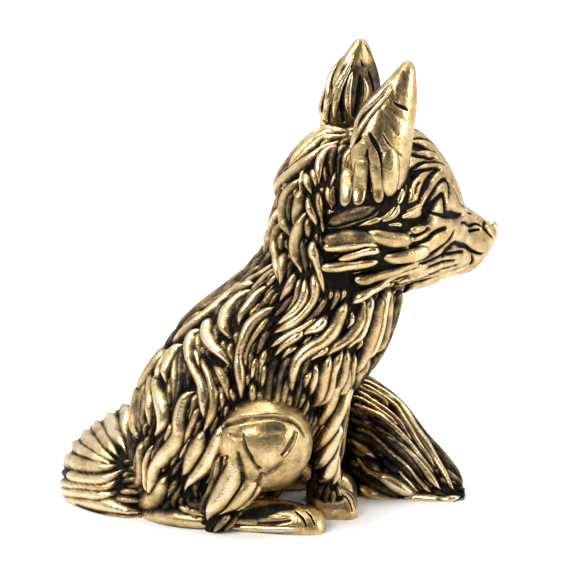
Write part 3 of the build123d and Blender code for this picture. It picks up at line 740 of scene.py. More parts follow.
class Skin:
    """A form as a grid of closed rings, with its outward normals and its relief.

    Relief runs from 0, a groove that keeps its black patina, to 1, a rubbed top; down a lock's sides it is
    partly painted shade.
    """

    def __init__(self, grid, relief=1.0):
        self.grid = grid
        self.relief = np.full(grid.shape[:2], float(relief))
        along = np.gradient(grid, axis=0)
        across = np.roll(grid, -1, axis=1) - np.roll(grid, 1, axis=1)
        normal = unit(np.cross(along, across))
        outward = grid - grid.mean(axis=1, keepdims=True)
        self.normal = normal * np.sign((normal * outward).sum())
        self.pixel = to_pixels(grid)
        facing = (self.normal * (np.array(camera_place()) - grid)).sum(-1)
        self.hidden = np.where(facing > 0, 0.0, OUT_OF_SIGHT)

    def sink(self, depth):
        """Moves the surface inwards along its normals."""
        self.grid = self.grid - self.normal * np.asarray(depth)[..., None]

    def pick(self, stroke):
        """A stroke of pixels as places (ring, step round the ring, half width) on the surface."""
        stroke = np.asarray(stroke, float)
        gap = ((self.pixel[None] - stroke[:, None, None, :2]) ** 2).sum(-1) + self.hidden
        ring, step = np.unravel_index(gap.reshape(len(stroke), -1).argmin(1), self.hidden.shape)
        turn = 2 * pi / self.grid.shape[1]
        return np.column_stack([ring, np.unwrap(step * turn) / turn, stroke[:, 2] / PIXELS_PER_MM])

    def at(self, ring, step):
        """Points and normals between the grid's own points, by linear shares of the four nearest."""
        along, around = self.grid.shape[:2]
        ring = np.clip(ring, 0, along - 1.001)
        i = ring.astype(int)
        j = np.floor(step).astype(int)
        s = (ring - i)[:, None]
        t = (step - j)[:, None]
        j, k = j % around, (j + 1) % around
        point, normal = (
            (1 - s) * ((1 - t) * field[i, j] + t * field[i, k])
            + s * ((1 - t) * field[i + 1, j] + t * field[i + 1, k])
            for field in (self.grid, self.normal)
        )
        return point, unit(normal)

    def raise_fur(self, runs, rubs):
        """Raises a ridge along each run of places, rubbed as much as rubs says; the highest ridge shows.

        A ridge is RIDGE_RISE * half width * (1 - t ** 2) high, where t is the distance from its run over
        RIDGE_SPREAD half widths. Where the two highest ridges are about level, they meet in a dark groove.
        """
        top, second, shine = np.zeros((3, *self.relief.shape))
        for run, rub in zip(runs, rubs):
            ring, step, half_width = smooth_rows(run, RIDGE_SAMPLES).T
            path, _ = self.at(ring, step)
            half_width = half_width * taper(path, half_width, POINTED)
            reach = RIDGE_SPREAD * half_width
            near = box_round(self.grid, path, reach.max())
            gap = np.linalg.norm(self.grid[near][:, None] - path, axis=-1) / reach
            nearest = gap.argmin(1)
            share = np.clip(1 - gap.min(1) ** 2, 0, 1)
            height = np.minimum(RIDGE_RISE * half_width[nearest], RIDGE_LIMIT) * share
            higher = height > top[near]
            second[near] = np.where(higher, top[near], np.maximum(second[near], height))
            shine[near] = np.where(higher, rub * share**SHINE_POWER, shine[near])
            top[near] = np.maximum(top[near], height)
        apart = np.clip((top - second) / GROOVE_MARGIN, 0, 1)
        self.grid = self.grid + self.normal * (top - GROOVE_DEPTH * (1 - apart))[..., None]
        self.grid[..., 2] = np.maximum(self.grid[..., 2], 0)
        self.relief = shine * (GROOVE_SHINE + (1 - GROOVE_SHINE) * apart)

    def carve(self, runs, depth, dark, crisp):
        """Cuts grooves along runs of places, as dark and with edges as crisp as the numbers say.

        Each point sinks by depth * (1 - (distance / half width) ** 2) ** 2.
        """
        for run in runs:
            ring, step, half_width = smooth_rows(run, RIDGE_SAMPLES).T
            path, _ = self.at(ring, step)
            near = box_round(self.grid, path, half_width.max())
            gap = np.linalg.norm(self.grid[near][:, None] - path, axis=-1) / half_width
            share = np.clip(1 - gap.min(1) ** 2, 0, 1)
            self.grid[near] -= self.normal[near] * (depth * share**2)[:, None]
            self.relief[near] = np.minimum(self.relief[near], 1 - dark * np.clip(crisp * share**2, 0, 1))


def right_pixels(skin):
    """Where a skin's points, or for its left half their mirror images, fall in the photograph."""
    steps = skin.pixel.shape[1]
    step = np.arange(steps)
    return skin.pixel[:, np.where(step <= steps // 2, step, -step)]


def bareness(skin):
    """How bare of fur a head's points are: 0 behind the cheek, 1 on the face, alike on both sides."""
    return np.clip((right_pixels(skin)[..., 0] - FACE_PIXEL) / FACE_BLEND, 0, 1)


def other_side(runs):
    """Runs of places laid on a skin's other side."""
    return [run * [1, -1, 1] for run in runs]


def drawn_places(skin, strokes, mirrored=True, widen=1.3):
    """Strokes as smooth runs of places on a skin, with widths seen askew set right.

    Where mirrored, each run is also laid on the skin's other side.
    """
    _, _, back = camera_axes()
    runs = []
    for stroke in strokes:
        run = smooth_rows(skin.pick(stroke), LOCK_STATIONS)
        path, normal = skin.at(run[:, 0], run[:, 1])
        across = unit(np.cross(unit(np.gradient(path, axis=0)), normal))
        in_view = np.sqrt(np.clip(1 - (across @ np.array(back)) ** 2, ASKEW_LIMIT, 1))
        run[:, 2] = np.maximum(run[:, 2] * widen / in_view, THINNEST)
        runs.append(run)
    return runs + other_side(runs) if mirrored else runs


def forehead_runs(face):
    """Furrows along a face's middle that draw together towards the nose, as runs of places on both sides.

    Half widths swell and shrink as a sine, from a tenth of its half turn to nine tenths.
    """
    rings, steps = face.grid.shape[:2]
    share = np.linspace(0, 1, LOCK_STATIONS)
    runs = [
        columns(
            (start + (end - start) * share) * rings,
            around * (1 - FURROW_DRAW * share) * steps,
            half_width * np.sin(pi * (0.1 + 0.8 * share)),
        )
        for start, end, around, half_width in FOREHEAD_FURROWS
    ]
    return runs + other_side(runs)


def seen_lobe(skins, stroke, widen=1.2):
    """A stroke laid on whichever skin is seen at its pixels, as a path, its normals and its half widths."""
    stroke = np.asarray(stroke, float)
    camera = np.array(camera_place())
    choices, costs = [], []
    for skin in skins:
        place = skin.pick(stroke)
        point, normal = skin.at(place[:, 0], place[:, 1])
        missed = np.linalg.norm(to_pixels(point) - stroke[:, :2], axis=1) / PIXELS_PER_MM
        choices.append(np.column_stack([point, normal, widen * place[:, 2]]))
        excess = np.maximum(missed - MISS_ALLOWED, 0)
        costs.append(np.linalg.norm(point - camera, axis=1) + MISS_COST * excess)
    chosen = np.array(choices)[np.argmin(costs, axis=0), np.arange(len(stroke))]
    rows = smooth_rows(chosen, LOCK_STATIONS)
    return rows[:, :3], unit(rows[:, 3:6]), rows[:, 6]


def lobe_tubes(skins, strokes, seed, rise, rub, ends=BLUNT, left_ahead=0.0, root_sink=0.0):
    """Lobes on the head's right and, mirrored in the head's middle plane and set ahead, on its left.

    A lobe's root lies root_sink deep, and its depth goes to none as (1 - share of its length) ** 2.
    """
    random = np.random.default_rng(seed)
    middle = on_head(0, 0, 0)
    left = on_head(0, 1, 0) - middle
    ahead = on_head(left_ahead, 0, 0) - middle
    tubes = []
    for stroke in strokes:
        path, normal, half_width = seen_lobe(skins, stroke)
        path = path - root_sink * np.linspace(1, 0, len(path))[:, None] ** 2 * normal
        looks = (0.0, rise, random.uniform(*rub), ends)
        tubes.append(lock_tube(path, normal, half_width, *looks))
        path = path - 2 * ((path - middle) @ left)[:, None] * left + ahead
        normal = normal - 2 * (normal @ left)[:, None] * left
        tubes.append(lock_tube(path, normal, half_width, *looks))
    return tubes


def taper(path, half_width, ends):
    """A lock's width along its path as a share of its full width, from its root to its tip.

    It swells from the root and runs out to the tip as quarter circles, over so many half widths as ends
    gives, and the tip's is multiplied by a power of the distance left.
    """
    travel = np.concatenate([[0], np.cumsum(np.linalg.norm(np.diff(path, axis=0), axis=1))])
    from_root = np.clip(travel / (ends[0] * half_width.max()), ROOT_SHARE, 1)
    to_tip = np.clip((travel[-1] - travel) / (ends[1] * half_width.max()), TIP_SHARE, 1)
    return np.sqrt(1 - (1 - from_root) ** 2) * np.sqrt(1 - (1 - to_tip) ** 2) * to_tip ** ends[2]


def lock_tube(path, normal, half_width, tilt, rise, rub, ends):
    """A lock of fur: an oval carried along a path, with its top towards the normal, leaning by tilt."""
    across = unit(np.cross(unit(np.gradient(path, axis=0)), normal))
    half_width = (half_width * taper(path, half_width, ends))[:, None, None]
    height = np.clip(rise * half_width, 0, RIDGE_LIMIT)
    angle = np.linspace(0, 2 * pi, LOCK_SIDES, endpoint=False)[None, :, None]
    up = np.sin(angle)
    lifted = np.where(up > 0, up * height, up * UNDERSIDE * height) + tilt * np.cos(angle) * height
    grid = path[:, None] + across[:, None] * np.cos(angle) * half_width + normal[:, None] * lifted
    grid[..., 2] = np.maximum(grid[..., 2], 0)
    relief = np.clip(TUBE_SHINE * up[..., 0], 0, 1) * np.full((len(path), 1), rub)
    return grid, relief


def lock_tubes(skin, runs, seed, rise=1.0, rub=(1.0, 1.0)):
    """Lock tubes along runs of places, each with its own lean and its own rubbing within a range."""
    random = np.random.default_rng(seed)
    return [
        lock_tube(
            *skin.at(run[:, 0], run[:, 1]),
            run[:, 2],
            random.uniform(*LEAN_RANGE),
            rise * random.uniform(*RISE_RANGE),
            random.uniform(*rub),
            POINTED,
        )
        for run in runs
    ]


def furred(skin, drawn, allowed, seed):
    """Fills what drawn locks leave bare of a skin with more locks, and raises them all as ridges."""
    random = np.random.default_rng(seed)
    filling = fill_places(skin, drawn, allowed, seed)
    rubs = [*random.uniform(*DRAWN_RUB, len(drawn)), *random.uniform(*FILLED_RUB, len(filling))]
    skin.raise_fur(drawn + filling, rubs)


def fur_flow(skin, runs, spread=1.0, inborn=0.002):
    """The way the fur lies, as a change of ring and step for each millimetre along it.

    At each place the directions of the drawn runs are summed, each weighed by
    exp(-distance ** 2 / (2 * spread ** 2)), with a little of the way the rings run.
    """
    down = -np.gradient(skin.grid, axis=0)
    side = (np.roll(skin.grid, -1, axis=1) - np.roll(skin.grid, 1, axis=1)) / 2
    paths = [skin.at(run[:, 0], run[:, 1])[0] for run in runs]
    heading = unit(np.concatenate([np.gradient(path, axis=0) for path in paths]))
    path = np.concatenate(paths)
    ring, step = (np.round(np.concatenate(runs)[:, :2]).astype(int) % down.shape[:2]).T
    heading = heading * np.where((heading * down[ring, step]).sum(-1) < 0, -1, 1)[:, None]
    coarse = skin.grid[::FLOW_STEP, ::FLOW_STEP].reshape(-1, 3)
    square = (coarse**2).sum(1)[:, None] + (path**2).sum(1) - 2 * coarse @ path.T
    weight = np.exp(-square / (2 * spread**2))
    flow = unit(weight @ heading + inborn * unit(down)[::FLOW_STEP, ::FLOW_STEP].reshape(-1, 3))
    rings, steps = skin.grid[::FLOW_STEP, ::FLOW_STEP].shape[:2]
    flow = flow.reshape(rings, steps, 3)
    down, side = -down[::FLOW_STEP, ::FLOW_STEP], side[::FLOW_STEP, ::FLOW_STEP]
    a, b, c = (down * down).sum(-1), (down * side).sum(-1), (side * side).sum(-1)
    p, q = (down * flow).sum(-1), (side * flow).sum(-1)
    area = np.maximum(a * c - b * b, 1e-9)
    return np.stack([(c * p - b * q) / area, (a * q - b * p) / area], -1)


def fill_places(skin, runs, allowed, seed, reach=7.0, widest=0.24, narrowest=0.09, most=2500):
    """Runs of places in what the drawn locks leave bare.

    Each run starts in the middle of the widest bare place left, follows the fur's flow both ways for
    up to reach millimetres, stops where it would touch a lock and is as wide as the gap lets it be.
    Where locks are allowed is a mask of the skin's points, or True for all of them.
    """
    random = np.random.default_rng(seed)
    flow = fur_flow(skin, runs)
    bare = np.where(allowed, 1.0, np.zeros(skin.grid.shape[:2]))
    rings, steps = bare.shape

    def cover(run):
        path, _ = skin.at(run[:, 0], run[:, 1])
        near = box_round(skin.grid, path, run[:, 2].max() + 1.0)
        gap = np.linalg.norm(skin.grid[near][:, None] - path, axis=-1) - run[:, 2]
        bare[near] = np.minimum(bare[near], gap.min(1))

    for run in runs:
        cover(run)
    found = []
    for _ in range(most):
        start = np.unravel_index(bare.argmax(), bare.shape)
        if bare[start] < narrowest:
            break
        run = [(*start, bare[start])]
        for way in (1, -1):
            place = np.array(start, float)
            length = random.uniform(*REACH_RANGE) * reach
            for _ in range(int(length / FLOW_PACE)):
                i, j = int(place[0]), int(place[1]) % steps
                place = place + way * FLOW_PACE * flow[i // FLOW_STEP, j // FLOW_STEP]
                if not 1 <= place[0] < rings - 2:
                    break
                room = bare[int(place[0] + 0.5), int(place[1] + 0.5) % steps]
                if room < LEAST_ROOM:
                    break
                run.insert(len(run) if way > 0 else 0, (*place, room))
        if len(run) < SHORTEST_RUN:
            bare[start] = 0
            continue
        run = smooth_rows(run[:: max(1, len(run) // RUN_POINTS)], LOCK_STATIONS)
        run[:, 2] = np.clip(run[:, 2], LEAST_HALF_WIDTH, widest)
        cover(run)
        found.append(run)
    return found


def body_grid(along=271, around=690):
    """Level ellipses from the underside to the crown; angle 0 is the front, a quarter the right."""
    rows = smooth_rows(BODY_SECTIONS, along) / 100
    level, back, front = rows[:, 0] * BODY_HEIGHT, rows[:, 1] * BODY_LENGTH, rows[:, 2] * BODY_LENGTH
    half_width = rows[:, 3] * BODY_WIDTH / 2
    return ellipse_tube(
        columns((front - back) / 2, 0, level),
        columns((front + back) / 2, 0, 0),
        columns(0, -half_width, 0),
        around,
    )


def head_grid(along=230, around=400, span=(0, 1)):
    """Upright ellipses along a span of the head; angle 0 is the crown, a quarter the right cheek."""
    rows = smooth_rows(HEAD_SECTIONS, along, span) / 100
    ahead = rows[:, 0] * HEAD_LENGTH - HEAD_BACK
    low, high = rows[:, 1] * HEAD_HEIGHT, rows[:, 2] * HEAD_HEIGHT
    half_width = rows[:, 3] * HEAD_WIDTH / 2
    right = on_head(0, -1, 0) - on_head(0, 0, 0)
    return ellipse_tube(
        on_head(ahead, 0, (high - low) / 2),
        columns(0, 0, (high + low) / 2),
        half_width[:, None] * right,
        around,
    )


def nose_grid(along=24, around=32):
    """A ball on the end of the muzzle, in rings from its top to its bottom."""
    polar = np.linspace(NOSE_POLE, pi - NOSE_POLE, along)
    ahead = HEAD_LENGTH - HEAD_BACK - NOSE_SET_BACK
    above = -HEAD_HEIGHT * NOSE_DROP
    centre = on_head(ahead, 0, above + NOSE_RADIUS * np.cos(polar))
    reach = NOSE_RADIUS * np.sin(polar)
    return ellipse_tube(centre, columns(reach, 0, 0), columns(0, reach, 0), around)


def ear_grid(side, along=220, around=240):
    """Level ellipses from an ear's foot to its tip; angle 0 is its front edge, a quarter its right face."""
    rows = smooth_rows(EAR_SECTIONS, along) / 100
    turn = HEAD_TURN + side * EAR_TURN
    centre = on_head(
        EAR_AHEAD[side] + rows[:, 1] * EAR_SWEEP[side],
        side * (EAR_OUTWARD - rows[:, 2] * EAR_LEAN),
        EAR_ABOVE + rows[:, 0] * EAR_HEIGHT,
    )
    forward = np.array([cos(turn), sin(turn), 0])
    right = np.array([sin(turn), -cos(turn), 0])
    return ellipse_tube(
        centre,
        rows[:, 3:4] * EAR_WIDTH[side] / 2 * forward,
        rows[:, 4:5] * EAR_THICKNESS / 2 * right,
        around,
    )


def lying_grid(x, y, half_width, height, around, waist=0.2):
    """Upright rings along a path on the ground; the lower part of each ellipse is pressed flat."""
    path = columns(x, y, 0)
    forward = unit(np.gradient(path, axis=0))
    right = np.cross(forward, [0, 0, 1])
    grid = ellipse_tube(
        columns(x, y, height * waist),
        columns(0, 0, height * (1 - waist)),
        half_width[:, None] * right,
        around,
    )
    grid[..., 2] = np.maximum(grid[..., 2], 0)
    return grid


def tail_grid(along=400, around=240):
    """The tail along its path; angle 0 is its ridge."""
    rows = smooth_rows(TAIL_SECTIONS, along) / 100
    return lying_grid(
        TAIL_X + rows[:, 0] * TAIL_REACH,
        rows[:, 1] * TAIL_SPREAD,
        rows[:, 2] * TAIL_WIDTH / 2,
        rows[:, 3] * TAIL_HEIGHT,
        around,
    )


def thigh_grid(along=120, around=300):
    """The right thigh's outer half: rings about its outermost point, on a ball of three diameters."""
    polar = np.linspace(THIGH_POLE, THIGH_END, along)
    centre = columns(THIGH_X, -(THIGH_OUTWARD + THIGH_WIDTH / 2 * np.cos(polar)), THIGH_LEVEL)
    return ellipse_tube(
        centre,
        columns(THIGH_LENGTH / 2 * np.sin(polar), 0, 0),
        columns(0, 0, THIGH_HEIGHT / 2 * np.sin(polar)),
        around,
    )


def shank_grid(along=160, around=200):
    """Level ellipses up the right shank, from the ground into the thigh; angle 0 is the front."""
    rows = smooth_rows(SHANK_SECTIONS, along) / 100
    return ellipse_tube(
        columns(
            HEEL_X + rows[:, 1] * SHANK_LEAN,
            -(HEEL_OUTWARD + SHANK_OUTWARD),
            rows[:, 0] * THIGH_LEVEL,
        ),
        columns(rows[:, 2] * SHANK_LENGTH / 2, 0, 0),
        columns(0, -rows[:, 3] * SHANK_WIDTH / 2, 0),
        around,
    )


def foot_grid(along=160, around=160):
    """The right hind foot on the ground; angle 0 is its top."""
    rows = smooth_rows(FOOT_SECTIONS, along) / 100
    return lying_grid(
        HEEL_X + rows[:, 0] * FOOT_LENGTH,
        -(HEEL_OUTWARD + rows[:, 1] * FOOT_SPLAY),
        rows[:, 3] * FOOT_WIDTH / 2,
        rows[:, 2] * FOOT_HEIGHT,
        around,
    )


def foreleg_grid(along=200, around=180):
    """Level ellipses up the right foreleg; angle 0 is the front."""
    rows = smooth_rows(FORELEG_SECTIONS, along) / 100
    return ellipse_tube(
        columns(
            FORELEG_X + rows[:, 1] * SHOULDER_SET_FORWARD,
            -(FORELEG_OUTWARD + rows[:, 2] * SHOULDER_SPREAD),
            rows[:, 0] * FORELEG_HEIGHT,
        ),
        columns(rows[:, 3] * FORELEG_LENGTH / 2, 0, 0),
        columns(0, -rows[:, 4] * FORELEG_WIDTH / 2, 0),
        around,
    )


def paw_grid(along=120, around=140):
    """The right front paw on the ground; angle 0 is its top."""
    rows = smooth_rows(PAW_SECTIONS, along) / 100
    return lying_grid(
        PAW_X + rows[:, 0] * PAW_LENGTH,
        np.full(along, -FORELEG_OUTWARD),
        rows[:, 2] * PAW_WIDTH / 2,
        rows[:, 1] * PAW_HEIGHT,
        around,
    )


def tube_faces(along, around, first_point, flipped):
    """Faces of a tube of rings that starts at a point's number, with a cap on each end."""
    i, j = np.meshgrid(np.arange(along - 1), np.arange(around), indexing="ij")
    k = (j + 1) % around
    quads = np.stack([i * around + j, i * around + k, (i + 1) * around + k, (i + 1) * around + j], -1)
    start = np.arange(around)[::-1]
    end = np.arange(around) + (along - 1) * around
    if flipped:
        quads, start, end = quads[..., ::-1], start[::-1], end[::-1]
    quads = quads.reshape(-1, 4) + first_point
    return quads.tolist() + [(start + first_point).tolist(), (end + first_point).tolist()]


def is_inside_out(grid):
    """Whether a tube's rings turn so that its faces would point inwards: its volume is negative."""
    along = np.diff(grid, axis=0)
    across = (np.roll(grid, -1, axis=1) - grid)[:-1]
    middle = grid[:-1].mean(axis=1, keepdims=True)
    return (np.cross(across, along) * (grid[:-1] - middle)).sum() < 0


def add_piece(name, node, tubes, material, mirrored=False):
    """A smooth mesh object of closed tubes, each a (grid, relief) pair, that stands for a CAD node."""
    points, reliefs, faces = [], [], []
    count = 0
    for grid, relief in tubes:
        if mirrored:
            grid = grid * [1, -1, 1]
        faces += tube_faces(*grid.shape[:2], count, is_inside_out(grid))
        points.append(grid.reshape(-1, 3))
        reliefs.append(relief.reshape(-1))
        count += grid.shape[0] * grid.shape[1]
    mesh = bpy.data.meshes.new(name)
    mesh.from_pydata((np.concatenate(points) * MM).tolist(), [], faces)
    mesh.attributes.new("relief", "FLOAT", "POINT").data.foreach_set("value", np.concatenate(reliefs))
    mesh.polygons.foreach_set("use_smooth", [len(face) == 4 for face in faces])
    mesh.materials.append(material)
    obj = bpy.data.objects.new(name, mesh)
    bpy.context.scene.collection.objects.link(obj)
    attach(obj, "root")
    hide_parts(node)


def surface(skin):
    """A skin as a tube for add_piece."""
    return skin.grid, skin.relief


def lapped_halves(skin):
    """A skin's two halves as tubes, each of which runs on a little under the other, so that no seam shows.

    A half sinks by LAP_DEPTH * (share of the lap) ** 2.
    """
    middle = skin.grid.shape[0] // 2
    first, last = middle - LAP_RINGS, middle + LAP_RINGS + 1
    depth = LAP_DEPTH * np.linspace(0, 1, LAP_RINGS + 1)[:, None, None] ** 2
    lower = skin.grid[:last].copy()
    lower[middle:] -= depth * skin.normal[middle:last]
    upper = skin.grid[first:].copy()
    upper[:LAP_RINGS + 1] -= depth[::-1] * skin.normal[first:middle + 1]
    return (lower, skin.relief[:last]), (upper, skin.relief[first:])


def node_tree(material):
    """A material's cleared node tree with its shader."""
    material.use_nodes = True
    tree = material.node_tree
    tree.nodes.clear()
    shader = tree.nodes.new("ShaderNodeBsdfPrincipled")
    output = tree.nodes.new("ShaderNodeOutputMaterial")
    tree.links.new(shader.outputs[0], output.inputs[0])
    return tree, shader


def colour_ramp(tree, stops):
    """A ramp of (place, colour) stops."""
    ramp = tree.nodes.new("ShaderNodeValToRGB")
    ramp.color_ramp.elements.remove(ramp.color_ramp.elements[1])
    for number, (place, colour) in enumerate(stops):
        stop = ramp.color_ramp.elements[0] if number == 0 else ramp.color_ramp.elements.new(place)
        stop.position = place
        stop.color = (*colour, 1)
    return ramp


def noise(tree, scale, detail):
    """A noise over the piece, with its scale in patches a metre."""
    place = tree.nodes.new("ShaderNodeTexCoord")
    node = tree.nodes.new("ShaderNodeTexNoise")
    node.inputs["Scale"].default_value = scale
    node.inputs["Detail"].default_value = detail
    tree.links.new(place.outputs["Object"], node.inputs["Vector"])
    return node.outputs["Fac"]


def math_node(tree, operation, first, second):
    """A sum, product or the like of two sockets or numbers."""
    node = tree.nodes.new("ShaderNodeMath")
    node.operation = operation
    for socket, value in zip(node.inputs, (first, second)):
        if isinstance(value, (int, float)):
            socket.default_value = value
        else:
            tree.links.new(value, socket)
    return node.outputs[0]


def antique_brass():
    """Brass with rubbed gold tops and a black patina left in the grooves, finely pitted by casting."""
    material = bpy.data.materials.new("antique_brass")
    tree, shader = node_tree(material)
    attribute = tree.nodes.new("ShaderNodeAttribute")
    attribute.attribute_name = "relief"
    patches = noise(tree, *PATCHES)
    specks = noise(tree, *SPECKS)
    wander = math_node(tree, "MULTIPLY", math_node(tree, "SUBTRACT", patches, PATCH_MIDDLE), PATCH_STRENGTH)
    grain = math_node(tree, "MULTIPLY", math_node(tree, "SUBTRACT", specks, SPECK_MIDDLE), SPECK_STRENGTH)
    rubbed = math_node(tree, "ADD", attribute.outputs["Fac"], math_node(tree, "ADD", wander, grain))
    colour = colour_ramp(tree, BRASS_COLOURS)
    rough = colour_ramp(tree, [(place, (grey,) * 3) for place, grey in BRASS_ROUGHNESS])
    tree.links.new(rubbed, colour.inputs[0])
    tree.links.new(rubbed, rough.inputs[0])
    tree.links.new(colour.outputs[0], shader.inputs["Base Color"])
    tree.links.new(rough.outputs[0], shader.inputs["Roughness"])
    shader.inputs["Metallic"].default_value = 1.0
    bump = tree.nodes.new("ShaderNodeBump")
    bump.inputs["Strength"].default_value = BUMP_STRENGTH
    bump.inputs["Distance"].default_value = BUMP_DISTANCE * MM
    tree.links.new(math_node(tree, "ADD", specks, patches), bump.inputs["Height"])
    tree.links.new(bump.outputs[0], shader.inputs["Normal"])
    return material


def build_body(material):
    """The torso and mane in their fur, as a lower and an upper half."""
    skin = Skin(body_grid())
    skin.sink(FUR_DEPTH)
    level = np.linspace(0, 1, skin.grid.shape[0])[:, None]
    pixel = right_pixels(skin)
    between = (pixel[..., 1] > UNDER_CHEEK_TOP) & (pixel[..., 1] < UNDER_CHEEK_BOTTOM)
    under_cheek = (pixel[..., 0] > UNDER_CHEEK_LEFT) & between
    low, high = BODY_FUR_SHARES
    drawn = drawn_places(skin, FLANK_LOCKS + MANE_LOCKS + CHEST_LOCKS, widen=1.15)
    furred(skin, drawn, (level > low) & (level < high) & ~under_cheek, seed=5)
    lower, upper = lapped_halves(skin)
    add_piece("lower_body", "body", [lower], material)
    add_piece("upper_body", "body", [upper], material)


def build_head(material):
    """The head: fur on a dark skull behind, and a bare face cut with grooves in front."""
    whole = Skin(head_grid())
    whole.sink(FUR_DEPTH)
    neck = Skin(body_grid(220, 360))
    near_ear = Skin(ear_grid(RIGHT))
    drawn = drawn_places(whole, CHEEK_LOCKS + DARKER_CHEEK_LOCKS)
    drawn += drawn_places(whole, EAR_LOBES, mirrored=False)
    filling = fill_places(whole, drawn, bareness(whole) < 0.5, seed=8, narrowest=0.2)
    back = Skin(head_grid(140, 300, (0, FACE_START + SKULL_LAP)), DARK_RELIEF)
    back.sink(FUR_DEPTH)
    face = Skin(head_grid(170, 560, (FACE_START - FACE_LAP, 1)))
    bare = bareness(face)
    face.relief = DARK_RELIEF + FACE_RELIEF * bare
    face.sink(FUR_DEPTH * (1 - bare))
    face.carve(drawn_places(face, FACE_GROOVES, widen=4), *FACE_SHADED_HOLLOW)
    face.carve(drawn_places(face, FACE_GROOVES, widen=1.8), *FACE_GROOVE)
    face.carve(forehead_runs(face), *FACE_GROOVE)
    nose = nose_grid()
    cheek_fur = lobe_tubes([whole, neck], CHEEK_LOCKS, 5, 1.0, CHEEK_RUB)
    columns_ahead = EAR_AHEAD[LEFT] - EAR_AHEAD[RIGHT]
    ear_columns = lobe_tubes(
        [whole, near_ear, neck], EAR_LOBES, 6, 0.5, COLUMN_RUB, COLUMN, columns_ahead, COLUMN_ROOT_SINK
    )
    darker_cheek_fur = lobe_tubes([whole, neck], DARKER_CHEEK_LOCKS, 6, 1.0, DARKER_CHEEK_RUB)
    underfur = lock_tubes(whole, filling, 7, 0.9, UNDERFUR_RUB)
    add_piece("head_skin", "head", [surface(back)], material)
    add_piece("face_skin", "head", [surface(face), (nose, np.ones(nose.shape[:2]))], material)
    add_piece("cheek_fur", "head", cheek_fur, material)
    add_piece("ear_columns", "head", ear_columns, material)
    add_piece("darker_cheek_fur", "head", darker_cheek_fur, material)
    add_piece("head_underfur", "head", underfur, material)


def build_ears(material):
    """The ears: a grooved and scooped outer face, its scoops dark as painted shade, and an inner face with
    fur on it, darker as painted shade.
    """
    near = Skin(ear_grid(RIGHT))
    far = Skin(ear_grid(LEFT))
    near_strokes = (NEAR_EAR_LOCKS, NEAR_EAR_GROOVES, NEAR_EAR_SHADED_SCOOPS)
    far_strokes = (FAR_EAR_LOCKS, FAR_EAR_GROOVES)
    outer = [drawn_places(near, strokes, mirrored=False) for strokes in near_strokes]
    inner = [drawn_places(far, strokes, mirrored=False) for strokes in far_strokes]
    for name, side, skin in (("right_ear", RIGHT, near), ("left_ear", LEFT, far)):
        out_locks, out_grooves, out_shaded_scoops = outer if side == RIGHT else map(other_side, outer)
        in_locks, in_grooves = inner if side == LEFT else map(other_side, inner)
        height = np.linspace(0, 1, skin.grid.shape[0])[:, None]
        turn = np.sin(np.linspace(0, 2 * pi, skin.grid.shape[1], endpoint=False))[None]
        # The inner face is darkened below the tip as painted shade.
        inside = np.clip((side * turn - EAR_SHADE_START) / EAR_SHADE_BLEND, 0, 1)
        below_tip = np.clip((EAR_TIP_SHARE - height) / EAR_TIP_BLEND, 0, 1)
        skin.relief = EAR_RELIEF - EAR_SHADE * (inside * below_tip)
        # The scoops paint shade on the outer face; the grooves are cut.
        skin.carve(out_shaded_scoops, *EAR_SHADED_SCOOP)
        skin.carve(out_grooves, *EAR_GROOVE)
        skin.carve(in_grooves, *EAR_GROOVE)
        add_piece(name + "_skin", name, [surface(skin)], material)
        add_piece(name + "_fur", name, lock_tubes(skin, out_locks + in_locks, 8), material)


def build_legs(material):
    """The right legs, and their mirror images on the left."""
    thigh = Skin(thigh_grid(), THIGH_RELIEF)
    # Scoops that paint a dark reflection on the thigh.
    thigh.carve(drawn_places(thigh, THIGH_DARK_REFLECTION_SCOOPS, mirrored=False), *THIGH_DARK_REFLECTION_SCOOP)
    thigh.carve(drawn_places(thigh, THIGH_GROOVES, mirrored=False, widen=2.0), *THIGH_GROOVE)
    shank = Skin(shank_grid())
    shank.sink(FUR_DEPTH)
    furred(shank, drawn_places(shank, SHANK_LOCKS, mirrored=False), True, seed=14)
    foot = Skin(foot_grid(), FOOT_RELIEF)
    foot.carve(drawn_places(foot, FOOT_SCOOPS, mirrored=False, widen=1.2), *FOOT_SCOOP)
    foot.carve(drawn_places(foot, FOOT_GROOVES, mirrored=False, widen=1), *FOOT_GROOVE)
    foot_fur = lock_tubes(foot, drawn_places(foot, FOOT_LOCKS, mirrored=False, widen=1), 16)
    leg = Skin(foreleg_grid())
    leg.sink(FUR_DEPTH)
    furred(leg, drawn_places(leg, FORELEG_LOCKS, widen=1), True, seed=9)
    paw = Skin(paw_grid(), FOOT_RELIEF)
    paw.carve(drawn_places(paw, PAW_SCOOPS, mirrored=False, widen=1), *PAW_SCOOP)
    paw.carve(drawn_places(paw, PAW_GROOVES, mirrored=False, widen=1), *PAW_GROOVE)
    hind_leg = [surface(thigh), surface(shank), surface(foot)]
    foreleg = [surface(leg), surface(paw)]
    for name, mirrored in (("right", False), ("left", True)):
        add_piece(name + "_hind_leg_skin", name + "_hind_leg", hind_leg, material, mirrored)
        add_piece(name + "_hind_leg_fur", name + "_hind_leg", foot_fur, material, mirrored)
        add_piece(name + "_foreleg_skin", name + "_foreleg", foreleg, material, mirrored)


